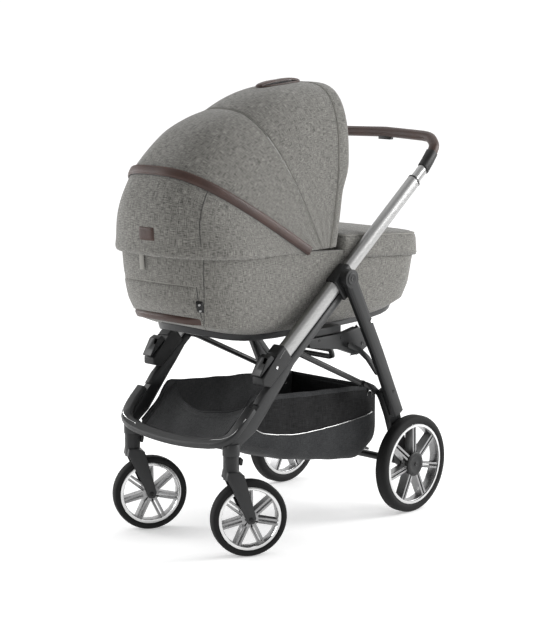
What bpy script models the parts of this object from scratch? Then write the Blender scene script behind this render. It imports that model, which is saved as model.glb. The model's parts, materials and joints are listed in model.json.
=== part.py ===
"""Baby stroller: a pushchair chassis with swivelling front wheels, a carrycot and a folding hood.

Lengths are in metres and +Z is up. While it is being built the stroller stands with its rear
axle above Y = 0 and drives towards -Y; at the end it is centred over the origin. Its left side is +X.
"""

import math

import bmesh
import bpy
from mathutils import Matrix, Vector

# Clearances
GAP = 0.0003  # between pieces that touch
RUN = 0.0006  # radial play of a turning or sliding piece

# Overall layout
WHEELBASE = 0.700  # rear axle to the front swivel axes
FRONT_TRACK = 0.3946  # between the two swivel axes
REAR_TRACK = 0.512  # between the middles of the rear tyres
TUBE_SPACING = 0.433  # between the middles of the left and right frame tubes
TUBE_ANGLE = math.radians(37.8)  # of the main tubes above the ground
KNUCKLE_BACK = -0.275  # where the rear legs hinge, from the rear axle
KNUCKLE_HEIGHT = 0.7285

# Wheels
REAR_RADIUS = 0.145
FRONT_RADIUS = 0.1072
TYRE_WIDTH = 0.039
TYRE_SHARE = 0.17  # tread thickness over wheel radius
SPOKES = 7
SPOKE_EDGE = 0.0088  # from a spoke pair's middle line to its outer side
SPOKE_SLOT = 0.0026  # from that line to the slot between the two bars
RIM_BAND = 0.0095
HUB_RADIUS = 0.024
PIN_RADIUS = 0.006
TRAIL = 0.0487  # front axle behind its swivel axis
SWIVEL = math.radians(30)  # how far the front wheels are turned at rest

# Frame tubes: half height in the side view, and half width across the stroller
TUBE_LOW = (0.0225, 0.0165)
TUBE_HIGH = (0.0205, 0.0155)
TUBE_INNER = (0.0165, 0.0115)
TUBE_WALL = 0.0022
RAIL = (0.013, 0.013)
LEG_HALF = 0.0255  # half height of the front leg below the fold housing
LOWER_TUBE = 0.257  # length of the lower silver tube
UPPER_TUBE = 0.375
KNUCKLE_DOWN = 0.040  # knuckle below and above its pivot, along the tube
KNUCKLE_UP = 0.036
INNER_SHOWN = 0.0505  # inner tube between the upper tube and the elbow
INNER_HIDDEN = 0.115
HOUSING_LENGTH = 0.130
LEVER_TRAVEL = 0.012

# Handle
ELBOW_LENGTH = 0.062
GRIP_RADIUS = 0.0155
GRIP_RISE = 0.047  # from the elbow's end up to the bar
GRIP_REACH = 0.046
BUTTON = (0.024, 0.0075, 0.010)  # half length, half width and height
BUTTON_PUSH = 0.003

# Front end
SOCKET_RADIUS = 0.024
SOCKET_BASE = 0.2855
SOCKET_HEIGHT = 0.032
BOW_HALF = (0.017, 0.010)
FORK_PLATE = 0.006
FORK_PLAY = 0.004
FORK_POST = 0.022

# Rear legs
REAR_LEG = (0.021, 0.012)
REAR_LEG_REACH = 0.2185  # from the knuckle back to the leg's foot
REAR_DISC = 0.027
HUB_PLATE = 0.021
AXLE_RADIUS = 0.011
PEDAL_LENGTH = 0.075

# Links
LINK_THICK = 0.006
LINK_HALF = 0.008
BRACE_HALF = 0.0085
BRACE_FRONT = (-0.177, -0.1885)  # pivots, from the knuckle: back and up
BRACE_KNEE = (0.120, -0.3275)
BRACE_REAR = (0.200, -0.3935)
STAY_FRONT = (0.040, -0.2005)
STAY_REAR = (0.164, -0.2985)

# Basket
BASKET_HALF = FRONT_TRACK / 2 - SOCKET_RADIUS - 0.003
BASKET_WALL = 0.004

# Carrycot
COT_HALF = 0.193
COT_HEAD = -0.822  # head end, from the rear axle
COT_FOOT = 0.138
HEAD_CAP = (0.190, 2.5)  # how far the round head end reaches, and its power
FOOT_CAP = (0.120, 3.3)
COT_BOTTOM = 0.590
COT_RIM = 0.772
COT_RISE = 0.07  # the rim climbs towards the head end by this slope
COT_WALL = 0.010
COT_BASE_DEPTH = 0.024
SEAT_PLAY = 0.0027  # between the seat mounts and the carrycot's base
COT_FLOOR = 0.052  # floor above the lowest point of the tub
MATTRESS = 0.030
COVER_HEIGHT = 0.050
COVER_STEPS = 12

# Hood: bows turn about an axis across the carrycot
HOOD_BACK = -0.309
HOOD_HEIGHT = 0.765
HOOD_HALF = 0.197
HOOD_CLOTH = 0.004
FOOT_FINE = 48  # steps along a quarter of the hood's foot before it is evenly spaced
BOW_SECTION = (0.006, 0.005)  # half width along the hood, half thickness
BOW_STEP = 0.0070  # each moving bow nests inside the one before it
TRIM_ANGLE = math.radians(149.5)
MID_ANGLE = math.radians(116.8)
TOP_ANGLE = math.radians(90.0)
RIM_ANGLE = math.radians(78.0)
HOOD_PROFILE = ((TRIM_ANGLE, 0.564, 3.3), (math.radians(133), 0.538, 3.0), (MID_ANGLE, 0.494, 2.8),
                (TOP_ANGLE, 0.500, 2.8), (RIM_ANGLE, 0.514, 2.8))  # bow plane, height and power
HOOD_REACH = 0.518  # from the hinge line to the hood's foot round the head end
LIP_DEPTH = 0.052
STRAP = (0.003, 0.012)  # carry handle: half thickness and half width

KNUCKLE = Vector((0, KNUCKLE_BACK, KNUCKLE_HEIGHT))
ALONG = Vector((0, math.cos(TUBE_ANGLE), math.sin(TUBE_ANGLE)))
ACROSS = Vector((0, -math.sin(TUBE_ANGLE), math.cos(TUBE_ANGLE)))
REST = Vector((0, 0, 0))
TUBE_X = TUBE_SPACING / 2
HOUSING_TOP = -(KNUCKLE_DOWN + LOWER_TUBE + 2 * GAP)
UPPER_END = KNUCKLE_UP + GAP + UPPER_TUBE
ELBOW_START = UPPER_END + INNER_SHOWN
KNUCKLE_OUT = TUBE_X + max(TUBE_LOW[1], TUBE_HIGH[1]) + 0.0025
REAR_LEG_X = KNUCKLE_OUT + 2 * GAP + REAR_LEG[1]
REAR_WHEEL_X = REAR_TRACK / 2
LINK_X = TUBE_X - RAIL[1] + 0.0027  # inner face of the layer that the braces' rear links move in
STAY_X = LINK_X + LINK_THICK + 2 * GAP  # and of the layer that the seat stays move in
HUB_OUT = min(REAR_WHEEL_X - TYRE_WIDTH / 2 - 0.001, REAR_LEG_X - REAR_LEG[1] - GAP)
HUB_IN = max(HUB_OUT - HUB_PLATE, LINK_X + LINK_THICK + 2 * GAP)
SIDES = (("left", 1), ("right", -1))

DARK = ((0.045, 0.046, 0.048), 0.45, 0.0)
CHARCOAL = ((0.085, 0.088, 0.090), 0.42, 0.0)
SILVER = ((0.62, 0.62, 0.61), 0.30, 1.0)
BLACK = ((0.02, 0.02, 0.02), 0.6, 0.0)
TYRE = ((0.018, 0.018, 0.018), 0.85, 0.0)
CLOTH = ((0.24, 0.23, 0.21), 0.95, 0.0)
MESH = ((0.05, 0.05, 0.05), 0.95, 0.0)
LEATHER = ((0.075, 0.035, 0.025), 0.5, 0.0)
WHITE = ((0.8, 0.8, 0.78), 0.9, 0.0)


# ---------------------------------------------------------------- building blocks


def tube_point(s, p=0.0, x=0.0):
    """A point beside the main tube: s along it from the knuckle, p above it and x across."""
    return KNUCKLE + ALONG * s + ACROSS * p + Vector((x, 0, 0))


def finish(name, bm, look):
    """Makes an object from a closed bmesh, faces outwards, with a material of its own."""
    bmesh.ops.recalc_face_normals(bm, faces=bm.faces)
    mesh = bpy.data.meshes.new(name)
    bm.to_mesh(mesh)
    bm.free()
    mesh.shade_smooth()
    mesh.set_sharp_from_angle(angle=math.radians(35))
    obj = bpy.data.objects.new(name, mesh)
    bpy.context.scene.collection.objects.link(obj)
    colour, roughness, metallic = look
    material = bpy.data.materials.new(name)
    material.use_nodes = True
    shader = material.node_tree.nodes["Principled BSDF"]
    shader.inputs["Base Color"].default_value = (*colour, 1)
    shader.inputs["Roughness"].default_value = roughness
    shader.inputs["Metallic"].default_value = metallic
    mesh.materials.append(material)
    return obj


def combine(obj, others, operation):
    """Joins others to obj, or cuts them from it, and removes them."""
    for other in others:
        step = obj.modifiers.new(operation, "BOOLEAN")
        step.operation = operation
        step.solver = "EXACT"
        step.object = other
    bpy.context.view_layer.update()
    graph = bpy.context.evaluated_depsgraph_get()
    shaped = bpy.data.meshes.new_from_object(obj.evaluated_get(graph))
    obj.modifiers.clear()
    obj.data = shaped
    for other in others:
        bpy.data.objects.remove(other)
    return obj


def union(obj, *others):
    return combine(obj, others, "UNION")


def cut(obj, *others):
    return combine(obj, others, "DIFFERENCE")


def bridge(bm, rings, closed_path=False, across=False):
    """Skins a list of vertex rings and caps both ends unless the path closes on itself.
    across fills a cap with strips between mirrored points, which suits a ring that isn't flat."""
    count = len(rings[0])
    pairs = list(zip(rings, rings[1:]))
    if closed_path:
        pairs.append((rings[-1], rings[0]))
    for low, high in pairs:
        for i in range(count):
            j = (i + 1) % count
            bm.faces.new((low[i], low[j], high[j], high[i]))
    if closed_path:
        return
    for ring in (rings[0], rings[-1]):
        if not across:
            bm.faces.new(ring)
            continue
        for i in range(count // 2 - 1):
            bm.faces.new((ring[i], ring[i + 1], ring[count - 2 - i], ring[count - 1 - i]))


def oval(half_u, half_v, power, count):
    """Points round a superellipse: power 2 is an ellipse, and higher is squarer."""
    points = []
    for i in range(count):
        angle = 2 * math.pi * (i + 0.5) / count
        c, s = math.cos(angle), math.sin(angle)
        u = half_u * math.copysign(abs(c) ** (2 / power), c)
        v = half_v * math.copysign(abs(s) ** (2 / power), s)
        points.append((u, v))
    return points


def frames(path, side):
    """Section axes at each point of a path: v is nearest to side, and u is square to it."""
    result = []
    for i, here in enumerate(path):
        before = path[max(i - 1, 0)]
        after = path[min(i + 1, len(path) - 1)]
        along = (after - before).normalized()
        v = (side - along * side.dot(along)).normalized()
        result.append((here, v.cross(along).normalized(), v))
    return result


def sweep(name, path, half, look, side=Vector((1, 0, 0)), power=2.6, count=16, wall=0.0):
    """A bar along path. half is (half_u, half_v), or one such pair for each point.
    With a wall it is a tube that is open at both ends."""
    halves = half if isinstance(half[0], (tuple, list)) else [half] * len(path)
    bm = bmesh.new()
    outer, inner = [], []
    for (here, u, v), (half_u, half_v) in zip(frames(path, side), halves):
        ring = oval(half_u, half_v, power, count)
        outer.append([bm.verts.new(here + u * a + v * b) for a, b in ring])
        if wall:
            ring = oval(half_u - wall, half_v - wall, power, count)
            inner.append([bm.verts.new(here + u * a + v * b) for a, b in ring])
    bridge(bm, outer + inner[::-1], closed_path=bool(wall))
    return finish(name, bm, look)


def smooth(points, per=4):
    """A Catmull-Rom curve through points, with per steps between each two."""
    ends = [points[0] * 2 - points[1]] + list(points) + [points[-1] * 2 - points[-2]]
    result = []
    for a, b, c, d in zip(ends, ends[1:], ends[2:], ends[3:]):
        for k in range(per):
            t = k / per
            result.append(0.5 * (2 * b + (c - a) * t + (2 * a - 5 * b + 4 * c - d) * t**2
                                 + (3 * b - a - 3 * c + d) * t**3))
    result.append(points[-1])
    return result


def rounded(outline, radius, steps=3):
    """The outline, a list of (y, z), with every corner turned into an arc."""
    result = []
    count = len(outline)
    for i in range(count):
        here = Vector(outline[i])
        back = (Vector(outline[i - 1]) - here)
        ahead = (Vector(outline[(i + 1) % count]) - here)
        half = back.angle(ahead) / 2
        reach = min(radius / math.tan(half), 0.45 * back.length, 0.45 * ahead.length)
        start = here + back.normalized() * reach
        end = here + ahead.normalized() * reach
        for k in range(steps + 1):
            t = k / steps
            result.append(start * (1 - t) ** 2 + here * 2 * t * (1 - t) + end * t**2)
    return result


def prism(name, outline, x0, x1, look, bevel=0.0):
    """The outline, a list of (y, z), extruded across the stroller from x0 to x1."""
    bm = bmesh.new()
    low, high = sorted((x0, x1))
    rings = [[bm.verts.new((x, p[0], p[1])) for p in outline] for x in (low, high)]
    bridge(bm, rings)
    if bevel:
        rims = [e for e in bm.edges if len({v.co.x for v in e.verts}) == 1]
        bmesh.ops.bevel(bm, geom=rims, offset=bevel, segments=1, profile=0.5, affect="EDGES")
    return finish(name, bm, look)


def block(name, low, high, look, bevel=0.0):
    """A box between two corners."""
    outline = [(low[1], low[2]), (high[1], low[2]), (high[1], high[2]), (low[1], high[2])]
    return prism(name, outline, low[0], high[0], look, bevel)


def turned(name, profile, look, steps=36, axis="X", hollow=False):
    """Turns a profile of (along, radius) points about the X or Z axis.
    A hollow profile is a closed loop clear of the axis; otherwise both ends are capped."""
    bm = bmesh.new()
    rings = []
    for along, radius in profile:
        ring = []
        for i in range(steps):
            angle = 2 * math.pi * i / steps
            c, s = radius * math.cos(angle), radius * math.sin(angle)
            ring.append(bm.verts.new((along, c, s) if axis == "X" else (c, s, along)))
        rings.append(ring)
    bridge(bm, rings, closed_path=hollow)
    return finish(name, bm, look)


def rod(name, start, end, radius, look, steps=16):
    """A round bar from start to end."""
    lift = (end - start).normalized()
    side = Vector((0, 0, 1)) if abs(lift.x) > 0.5 else Vector((1, 0, 0))
    return sweep(name, [start, end], (radius, radius), look, side=side, power=2, count=steps)


def moved(obj, x=0.0, y=0.0, z=0.0):
    obj.data.transform(Matrix.Translation((x, y, z)))
    return obj


def body(name, pivot, parent=None, turn=0.0):
    """An empty on a joint's axis. turn swings it about the vertical."""
    empty = bpy.data.objects.new(name, None)
    bpy.context.scene.collection.objects.link(empty)
    empty.empty_display_size = 0.03
    empty.parent = parent
    empty.location = pivot - (Vector(parent["pivot"]) if parent else REST)
    empty.rotation_euler.z = turn
    empty["pivot"] = pivot
    return empty


def attach(owner, *objects):
    """Hands pieces made in the stroller's frame to a body."""
    for obj in objects:
        obj.data.transform(Matrix.Translation(-Vector(owner["pivot"])))
        obj.parent = owner


# ---------------------------------------------------------------- chassis


def in_side_view(points):
    """Turns (s, p) positions beside the main tube into (y, z)."""
    return [tuple(tube_point(s, p).yz) for s, p in points]


def knuckle(side, sign):
    outline = [(-KNUCKLE_DOWN, -RAIL[0] * 2 - TUBE_LOW[0] - 0.004), (0.004, -0.050),
               (KNUCKLE_UP, -TUBE_HIGH[0] - 0.002), (KNUCKLE_UP, TUBE_HIGH[0] + 0.002),
               (-KNUCKLE_DOWN, TUBE_LOW[0] + 0.002)]
    inner = TUBE_X - max(TUBE_LOW[1], TUBE_HIGH[1]) - 0.0015
    return prism(f"knuckle_{side}", rounded(in_side_view(outline), 0.006, 2),
                 sign * inner, sign * KNUCKLE_OUT, DARK, bevel=0.003)


def leg_tube(side, sign):
    start = tube_point(HOUSING_TOP + GAP, 0, sign * TUBE_X)
    end = tube_point(-KNUCKLE_DOWN - GAP, 0, sign * TUBE_X)
    return sweep(f"leg_tube_{side}", [start, end], TUBE_LOW, SILVER, power=3, count=16)


def upper_tube(side, sign):
    start = tube_point(KNUCKLE_UP + GAP, 0, sign * TUBE_X)
    end = tube_point(UPPER_END, 0, sign * TUBE_X)
    return sweep(f"upper_tube_{side}", [start, end], TUBE_HIGH, SILVER, power=2.6, count=16,
                 wall=TUBE_WALL)


def housing_outline():
    low = -TUBE_LOW[0]
    top = HOUSING_TOP
    end = top - HOUSING_LENGTH
    return [(top, low), (top, TUBE_LOW[0] + 0.010), (top - 0.034, TUBE_LOW[0] + 0.010),
            (top - 0.036, TUBE_LOW[0] + 0.004), (end + 0.012, 0.020), (end, 0.004),
            (end + 0.020, low)]


def housing_span():
    return TUBE_X - TUBE_LOW[1] - 0.0045, TUBE_X + TUBE_LOW[1] + 0.0045


def fold_housing(side, sign):
    inner, outer = housing_span()
    return prism(f"fold_housing_{side}", rounded(in_side_view(housing_outline()), 0.006, 2),
                 sign * inner, sign * outer, DARK, bevel=0.003)


def fold_lever(side, sign):
    """Pull lever in front of a housing; it slides up the tube."""
    base = TUBE_LOW[0] + 0.0045
    top = HOUSING_TOP - 0.036 - LEVER_TRAVEL
    end = HOUSING_TOP - HOUSING_LENGTH + 0.010
    outline = [(top, base), (top - 0.004, base + 0.018), (top - 0.020, base + 0.021),
               (end, base + 0.004), (end, base)]
    inner, outer = housing_span()
    return prism(f"fold_lever_{side}", rounded(in_side_view(outline), 0.003, 2),
                 sign * (inner + 0.003), sign * (outer - 0.003), DARK, bevel=0.002)


def leg_path(sign):
    """Centre line of the dark front leg, from under the knuckle to the caster socket."""
    rail = -TUBE_LOW[0] - GAP - RAIL[0]
    foot = -WHEELBASE - KNUCKLE_BACK
    caster_x = FRONT_TRACK / 2
    drop = SOCKET_BASE + SOCKET_HEIGHT - KNUCKLE_HEIGHT
    knee = tube_point(HOUSING_TOP - 0.132, rail - 0.014)
    toe = KNUCKLE + Vector((0, foot, drop))
    bend = toe.lerp(knee, 0.42) + Vector((0, 0.006, -0.004))
    stations = [
        (tube_point(-KNUCKLE_DOWN - GAP, rail), TUBE_X, RAIL[0]),
        (tube_point(HOUSING_TOP * 0.6, rail), TUBE_X, RAIL[0]),
        (tube_point(HOUSING_TOP, rail), TUBE_X, RAIL[0]),
        (tube_point(HOUSING_TOP - 0.060, rail - 0.008), TUBE_X, RAIL[0] + 0.005),
        (knee, TUBE_X, LEG_HALF - 0.001),
        (bend, TUBE_X - 0.004, LEG_HALF),
        (toe + Vector((0, 0.010, 0.012)), (TUBE_X + caster_x) / 2, LEG_HALF - 0.003),
        (toe + Vector((0, -0.004, -0.010)), caster_x, SOCKET_RADIUS),
    ]
    path = [Vector((sign * x, p.y, p.z)) for p, x, _ in stations]
    halves = [(half, RAIL[1]) for _, _, half in stations]
    return path, halves


def bow_path():
    """Centre line of the footrest bow, from the left leg across the front to the right leg."""
    front = -WHEELBASE - 0.031
    corner = FRONT_TRACK / 2
    knee = tube_point(HOUSING_TOP - 0.190, -0.030)
    low = SOCKET_BASE
    half = [Vector((TUBE_X, knee.y, knee.z)), Vector((TUBE_X - 0.001, -WHEELBASE + 0.014, low + 0.080)),
            Vector((corner + 0.006, -WHEELBASE - 0.014, low + 0.049)),
            Vector((corner - 0.032, front + 0.004, low + 0.033)),
            Vector((corner * 0.46, front + 0.001, low + 0.023)), Vector((0, front, low + 0.019))]
    return smooth(half + [Vector((-p.x, p.y, p.z)) for p in half[-2::-1]], 3)


def footrest_bow(extra=0.0, name="footrest_bow"):
    half = (BOW_HALF[0] + extra, BOW_HALF[1] + extra)
    path = bow_path()
    if extra:
        path = [path[0] * 2 - path[1]] + path + [path[-1] * 2 - path[-2]]
    return sweep(name, path, half, CHARCOAL, side=Vector((0, -0.5, 0.85)), power=4, count=8)


def front_leg(side, sign):
    path, halves = leg_path(sign)
    leg = sweep(f"front_leg_{side}", path, halves, DARK, power=4, count=12)
    socket = turned("socket", [(SOCKET_BASE, SOCKET_RADIUS), (SOCKET_BASE + SOCKET_HEIGHT, SOCKET_RADIUS)],
                    DARK, 24, "Z")
    union(leg, moved(socket, sign * FRONT_TRACK / 2, -WHEELBASE))
    inner, outer = housing_span()
    grown = [(s + 0.02 * (s == HOUSING_TOP), p) for s, p in housing_outline()]
    sleeve = prism("sleeve", [(y, z) for y, z in in_side_view(grown)],
                   sign * (inner - 0.01), sign * (outer + 0.01), DARK)
    moved(sleeve, 0, -ACROSS.y * -GAP, -ACROSS.z * GAP)
    return cut(leg, sleeve, footrest_bow(4 * GAP, "cutter"))


MOUNT_IN = 0.180  # seat mount's inner face


def seat_mount(side, sign):
    """Bracket on the frame tube that carries the carrycot's foot."""
    k, h = KNUCKLE_BACK, KNUCKLE_HEIGHT
    top = COT_BOTTOM - COT_BASE_DEPTH - SEAT_PLAY - h
    outline = [(-0.118, top - 0.010), (-0.100, top), (0.046, top), (0.098, -0.156), (0.146, -0.214),
               (0.090, -0.238), (0.018, -0.212), (-0.068, -0.196), (-0.112, top - 0.024)]
    return prism(f"seat_mount_{side}", rounded([(k + y, h + z) for y, z in outline], 0.010, 3),
                 sign * MOUNT_IN, sign * (TUBE_X - RAIL[1] - GAP), CHARCOAL, bevel=0.0015)


def cross_bar():
    centre = KNUCKLE + Vector((0, 0.110, -0.212))
    reach = Vector((MOUNT_IN - GAP, 0, 0))
    return rod("cross_bar", centre - reach, centre + reach, 0.009, DARK, 16)


def fold_grip():
    """Loop under the cross bar that is pulled up to fold the chassis."""
    centre = KNUCKLE + Vector((0, 0.110, -0.212))
    drop = Vector((0, 0.012, -0.052))
    top = centre + Vector((0, 0.002, -0.0285))
    half = [top + Vector((0.080, 0, 0)), top + Vector((0.084, 0.003, -0.014)),
            centre + drop + Vector((0.070, 0, 0)), centre + drop]
    path = smooth(half + [Vector((2 * centre.x - p.x, p.y, p.z)) for p in half[-2::-1]], 2)
    loop = sweep("fold_grip", path, (0.0075, 0.0085), BLACK, side=Vector((0, 1, 0)), power=2.5, count=8)
    bar = block("bar", top + Vector((-0.086, -0.007, -0.006)), top + Vector((0.086, 0.007, 0.006)), BLACK)
    return union(loop, bar)


def basket():
    """Open-topped fabric basket slung between the legs."""
    toe = -WHEELBASE
    rise = KNUCKLE_HEIGHT
    outer = [(toe, 0.298), (toe * 0.71, 0.236), (toe * 0.426, 0.188), (-0.100, 0.156), (-0.062, 0.196),
             (-0.060, rise - 0.356), (-0.167, rise - 0.342), (toe * 0.70, rise - 0.316),
             (toe * 0.84, rise - 0.302), (toe * 0.90, 0.366), (toe, 0.320)]
    bag = prism("basket", outer, -BASKET_HALF, BASKET_HALF, MESH)
    w = BASKET_WALL
    inner = [(toe + w, 0.300 + w), (toe * 0.71, 0.237 + w), (toe * 0.426, 0.189 + w), (-0.102 - w, 0.157 + w),
             (-0.064 - w, 0.198 + w), (-0.064 - w, rise), (toe + w, rise)]
    return cut(bag, prism("room", inner, w - BASKET_HALF, BASKET_HALF - w, MESH))


def chassis():
    root = body("chassis", REST)
    for side, sign in SIDES:
        attach(root, knuckle(side, sign), leg_tube(side, sign), upper_tube(side, sign),
               fold_housing(side, sign), front_leg(side, sign), seat_mount(side, sign))
        lever = body(f"fold_lever_{side}_pull", tube_point(HOUSING_TOP - 0.07, 0, sign * TUBE_X), root)
        attach(lever, fold_lever(side, sign))
    attach(root, footrest_bow(), cross_bar(), basket())
    attach(body("fold_grip_pull", KNUCKLE + Vector((0, 0.110, -0.26)), root), fold_grip())
    return root


# ---------------------------------------------------------------- handle


def elbow_line(sign):
    """Centre line of the grip's end socket, rising a little steeper than the tube."""
    start = tube_point(ELBOW_START, 0, sign * TUBE_X)
    rise = TUBE_ANGLE + math.radians(10)
    end = start + Vector((0, math.cos(rise), math.sin(rise))) * ELBOW_LENGTH
    return [start, start + ALONG * 0.004, start.lerp(end, 0.5) + ACROSS * -0.0015, end]


def elbow_exit():
    """Where the left elbow ends, and the way it points there."""
    line = elbow_line(1)
    return line[-1], (line[-1] - line[-2]).normalized()


def handle_tube(side, sign):
    start = tube_point(UPPER_END - INNER_HIDDEN, 0, sign * TUBE_X)
    end = tube_point(ELBOW_START - GAP, 0, sign * TUBE_X)
    return sweep(f"handle_tube_{side}", [start, end], TUBE_INNER, SILVER, power=2.6, count=16)


def handle_elbow(side, sign):
    halves = [(0.0200, 0.0150), (0.0200, 0.0150), (0.0190, 0.0160), (0.0175, 0.0170)]
    return sweep(f"handle_elbow_{side}", elbow_line(sign), halves, BLACK, power=2.4, count=16)


def grip_path():
    socket, out = elbow_exit()
    end = socket + out * 2 * GAP
    shares = ((0.03, 0.38, 0.38), (0.13, 0.72, 0.72), (0.24, 0.89, 0.87), (0.52, 0.96, 0.95), (1.0, 1.0, 1.0))
    half = [end + out * 0.004]
    for x, y, z in shares:
        half.append(end + Vector((-end.x * x, GRIP_REACH * y, GRIP_RISE * z)))
    left = [end] + smooth(half, 3)
    return left + [Vector((-p.x, p.y, p.z)) for p in left[-2::-1]]


def button_place():
    middle = grip_path()[len(grip_path()) // 2]
    return middle + Vector((0, 0, -GRIP_RADIUS))


def handle_grip():
    lean = Vector((0, -math.sin(TUBE_ANGLE), math.cos(TUBE_ANGLE)))
    bar = sweep("handle_grip", grip_path(), (GRIP_RADIUS, GRIP_RADIUS), LEATHER, side=lean, power=2, count=12)
    spot = button_place()
    length, width, height = BUTTON
    pocket = Vector((length + RUN, width + RUN, 0))
    return cut(bar, block("pocket", spot - pocket - Vector((0, 0, height)),
                          spot + pocket + Vector((0, 0, 0.6 * height)), BLACK))


def height_button():
    spot = button_place()
    length, width, height = BUTTON
    rise = 0.6 * height - BUTTON_PUSH - GAP
    return block("height_button", spot - Vector((length, width, height - rise)),
                 spot + Vector((length, width, rise)), BLACK, bevel=0.001)


def handle(root):
    moving = body("handle_slide", tube_point(UPPER_END), root)
    for side, sign in SIDES:
        attach(moving, handle_tube(side, sign), handle_elbow(side, sign))
    attach(moving, handle_grip())
    attach(body("height_button_push", button_place(), moving), height_button())


# ---------------------------------------------------------------- wheels


def ring_radii(wheel_radius):
    seat = wheel_radius * (1 - TYRE_SHARE)
    return PIN_RADIUS + RUN, HUB_RADIUS, seat - RIM_BAND, seat


def wheel_rim(name, wheel_radius):
    """Cast rim with pairs of spokes, about the X axis. Each column of points is one line out
    from the hub: the four edges of a spoke pair, then two that round off the window."""
    radii = ring_radii(wheel_radius)
    depths = (TYRE_WIDTH * 0.46, TYRE_WIDTH * 0.40, TYRE_WIDTH * 0.36, TYRE_WIDTH * 0.44)
    edges = (-SPOKE_EDGE, -SPOKE_SLOT, SPOKE_SLOT, SPOKE_EDGE)
    sector = 2 * math.pi / SPOKES
    bm = bmesh.new()
    columns = []
    for spoke in range(SPOKES):
        middle = sector * spoke + math.pi / 2
        for place in range(6):
            column = []
            for radius, depth in zip(radii, depths):
                reach = max(radius, HUB_RADIUS)
                start = math.asin(SPOKE_EDGE / reach)
                if place < 4:
                    angle = middle + math.asin(edges[place] / reach)
                else:
                    angle = middle + start + (sector - 2 * start) * (place - 3) / 3
                spot = (radius * math.cos(angle), radius * math.sin(angle))
                column.append([bm.verts.new((x, *spot)) for x in (-depth, depth)])
            columns.append((place, column))
    for (place, here), (_, ahead) in zip(columns, columns[1:] + columns[:1]):
        solid = place in (0, 2)
        for k in range(3):
            if k == 1 and not solid:
                continue
            for face in (0, 1):
                bm.faces.new((here[k][face], here[k + 1][face], ahead[k + 1][face], ahead[k][face]))
        walls = [0, 3] if solid else [0, 1, 2, 3]
        for k in walls:
            bm.faces.new((here[k][0], here[k][1], ahead[k][1], ahead[k][0]))
    for place, column in columns:
        if place < 4:
            bm.faces.new((column[1][0], column[2][0], column[2][1], column[1][1]))
    return finish(name, bm, SILVER)


def tyre(name, wheel_radius):
    steps = 36
    seat = (ring_radii(wheel_radius)[3] + GAP) / math.cos(math.pi / steps)
    half = TYRE_WIDTH / 2
    side = seat + 0.45 * (wheel_radius - seat)
    profile = [(-half * 0.80, seat), (-half, side), (-half * 0.50, wheel_radius),
               (half * 0.50, wheel_radius), (half, side), (half * 0.80, seat)]
    return turned(name, profile, TYRE, steps, hollow=True)


# ---------------------------------------------------------------- rear frame


def rear_leg(side, sign):
    foot = Vector((0, KNUCKLE_BACK + REAR_LEG_REACH, 2 * REAR_RADIUS + 0.016))
    top = KNUCKLE
    bend = top.lerp(foot, 0.55) + Vector((0, 0.004, 0.002))
    path = [Vector((sign * REAR_LEG_X, p.y, p.z)) for p in (top, top.lerp(bend, 0.5), bend, foot)]
    halves = [(0.024, REAR_LEG[1]), (0.0225, REAR_LEG[1]), REAR_LEG, REAR_LEG]
    leg = sweep(f"rear_leg_{side}", path, halves, DARK, power=4, count=12)
    disc = turned("disc", [(-REAR_LEG[1], REAR_DISC), (REAR_LEG[1], REAR_DISC)], DARK, 28)
    return union(leg, moved(disc, sign * REAR_LEG_X, top.y, top.z))


def rear_hub(side, sign):
    """Bracket inside the leg's foot, with the stub that the wheel turns on."""
    foot = KNUCKLE_BACK + REAR_LEG_REACH
    wheel_top = 2 * REAR_RADIUS
    outline = [(foot - 0.056, wheel_top + 0.082), (foot - 0.006, wheel_top + 0.104),
               (foot + 0.030, wheel_top + 0.01), (0.020, REAR_RADIUS + 0.004),
               (0.004, REAR_RADIUS - 0.021), (-0.020, REAR_RADIUS - 0.006),
               (foot - 0.020, wheel_top + 0.006)]
    plate = prism(f"rear_hub_{side}", rounded(outline, 0.008, 2), sign * HUB_IN, sign * HUB_OUT, DARK)
    pad_outline = [(foot - 0.050, wheel_top + 0.074), (foot - 0.008, wheel_top + 0.092),
                   (foot + 0.018, wheel_top + 0.024), (foot - 0.020, wheel_top + 0.020)]
    pad = prism("pad", pad_outline, sign * (HUB_IN + 0.004), sign * (REAR_LEG_X - REAR_LEG[1] - GAP),
                DARK)
    end = REAR_WHEEL_X + TYRE_WIDTH * 0.40
    stub = rod("stub", Vector((sign * (HUB_IN + 0.004), 0, REAR_RADIUS)),
               Vector((sign * end, 0, REAR_RADIUS)), PIN_RADIUS, SILVER, 20)
    return union(plate, pad, stub)


def rear_axle():
    half = HUB_IN - GAP
    bar = turned("rear_axle", [(-half, AXLE_RADIUS), (half, AXLE_RADIUS)], DARK, 20)
    return moved(bar, 0, 0, REAR_RADIUS)


def brake_pedal():
    """Foot pedal on a collar round the middle of the axle."""
    hole = AXLE_RADIUS + RUN
    outer = hole + 0.005
    collar = turned("brake_pedal", [(-0.034, hole), (-0.034, outer), (0.034, outer), (0.034, hole)], DARK,
                    24, hollow=True)
    moved(collar, 0, 0, REAR_RADIUS)
    z = REAR_RADIUS
    outline = [(hole + 0.002, z - 0.006), (hole + 0.002, z + 0.006), (PEDAL_LENGTH * 0.6, z + 0.010),
               (PEDAL_LENGTH, z - 0.004), (PEDAL_LENGTH - 0.002, z - 0.011), (PEDAL_LENGTH * 0.55, z - 0.001)]
    plate = prism("plate", rounded(outline, 0.003, 2), -0.032, 0.032, DARK)
    return union(collar, plate)


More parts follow.
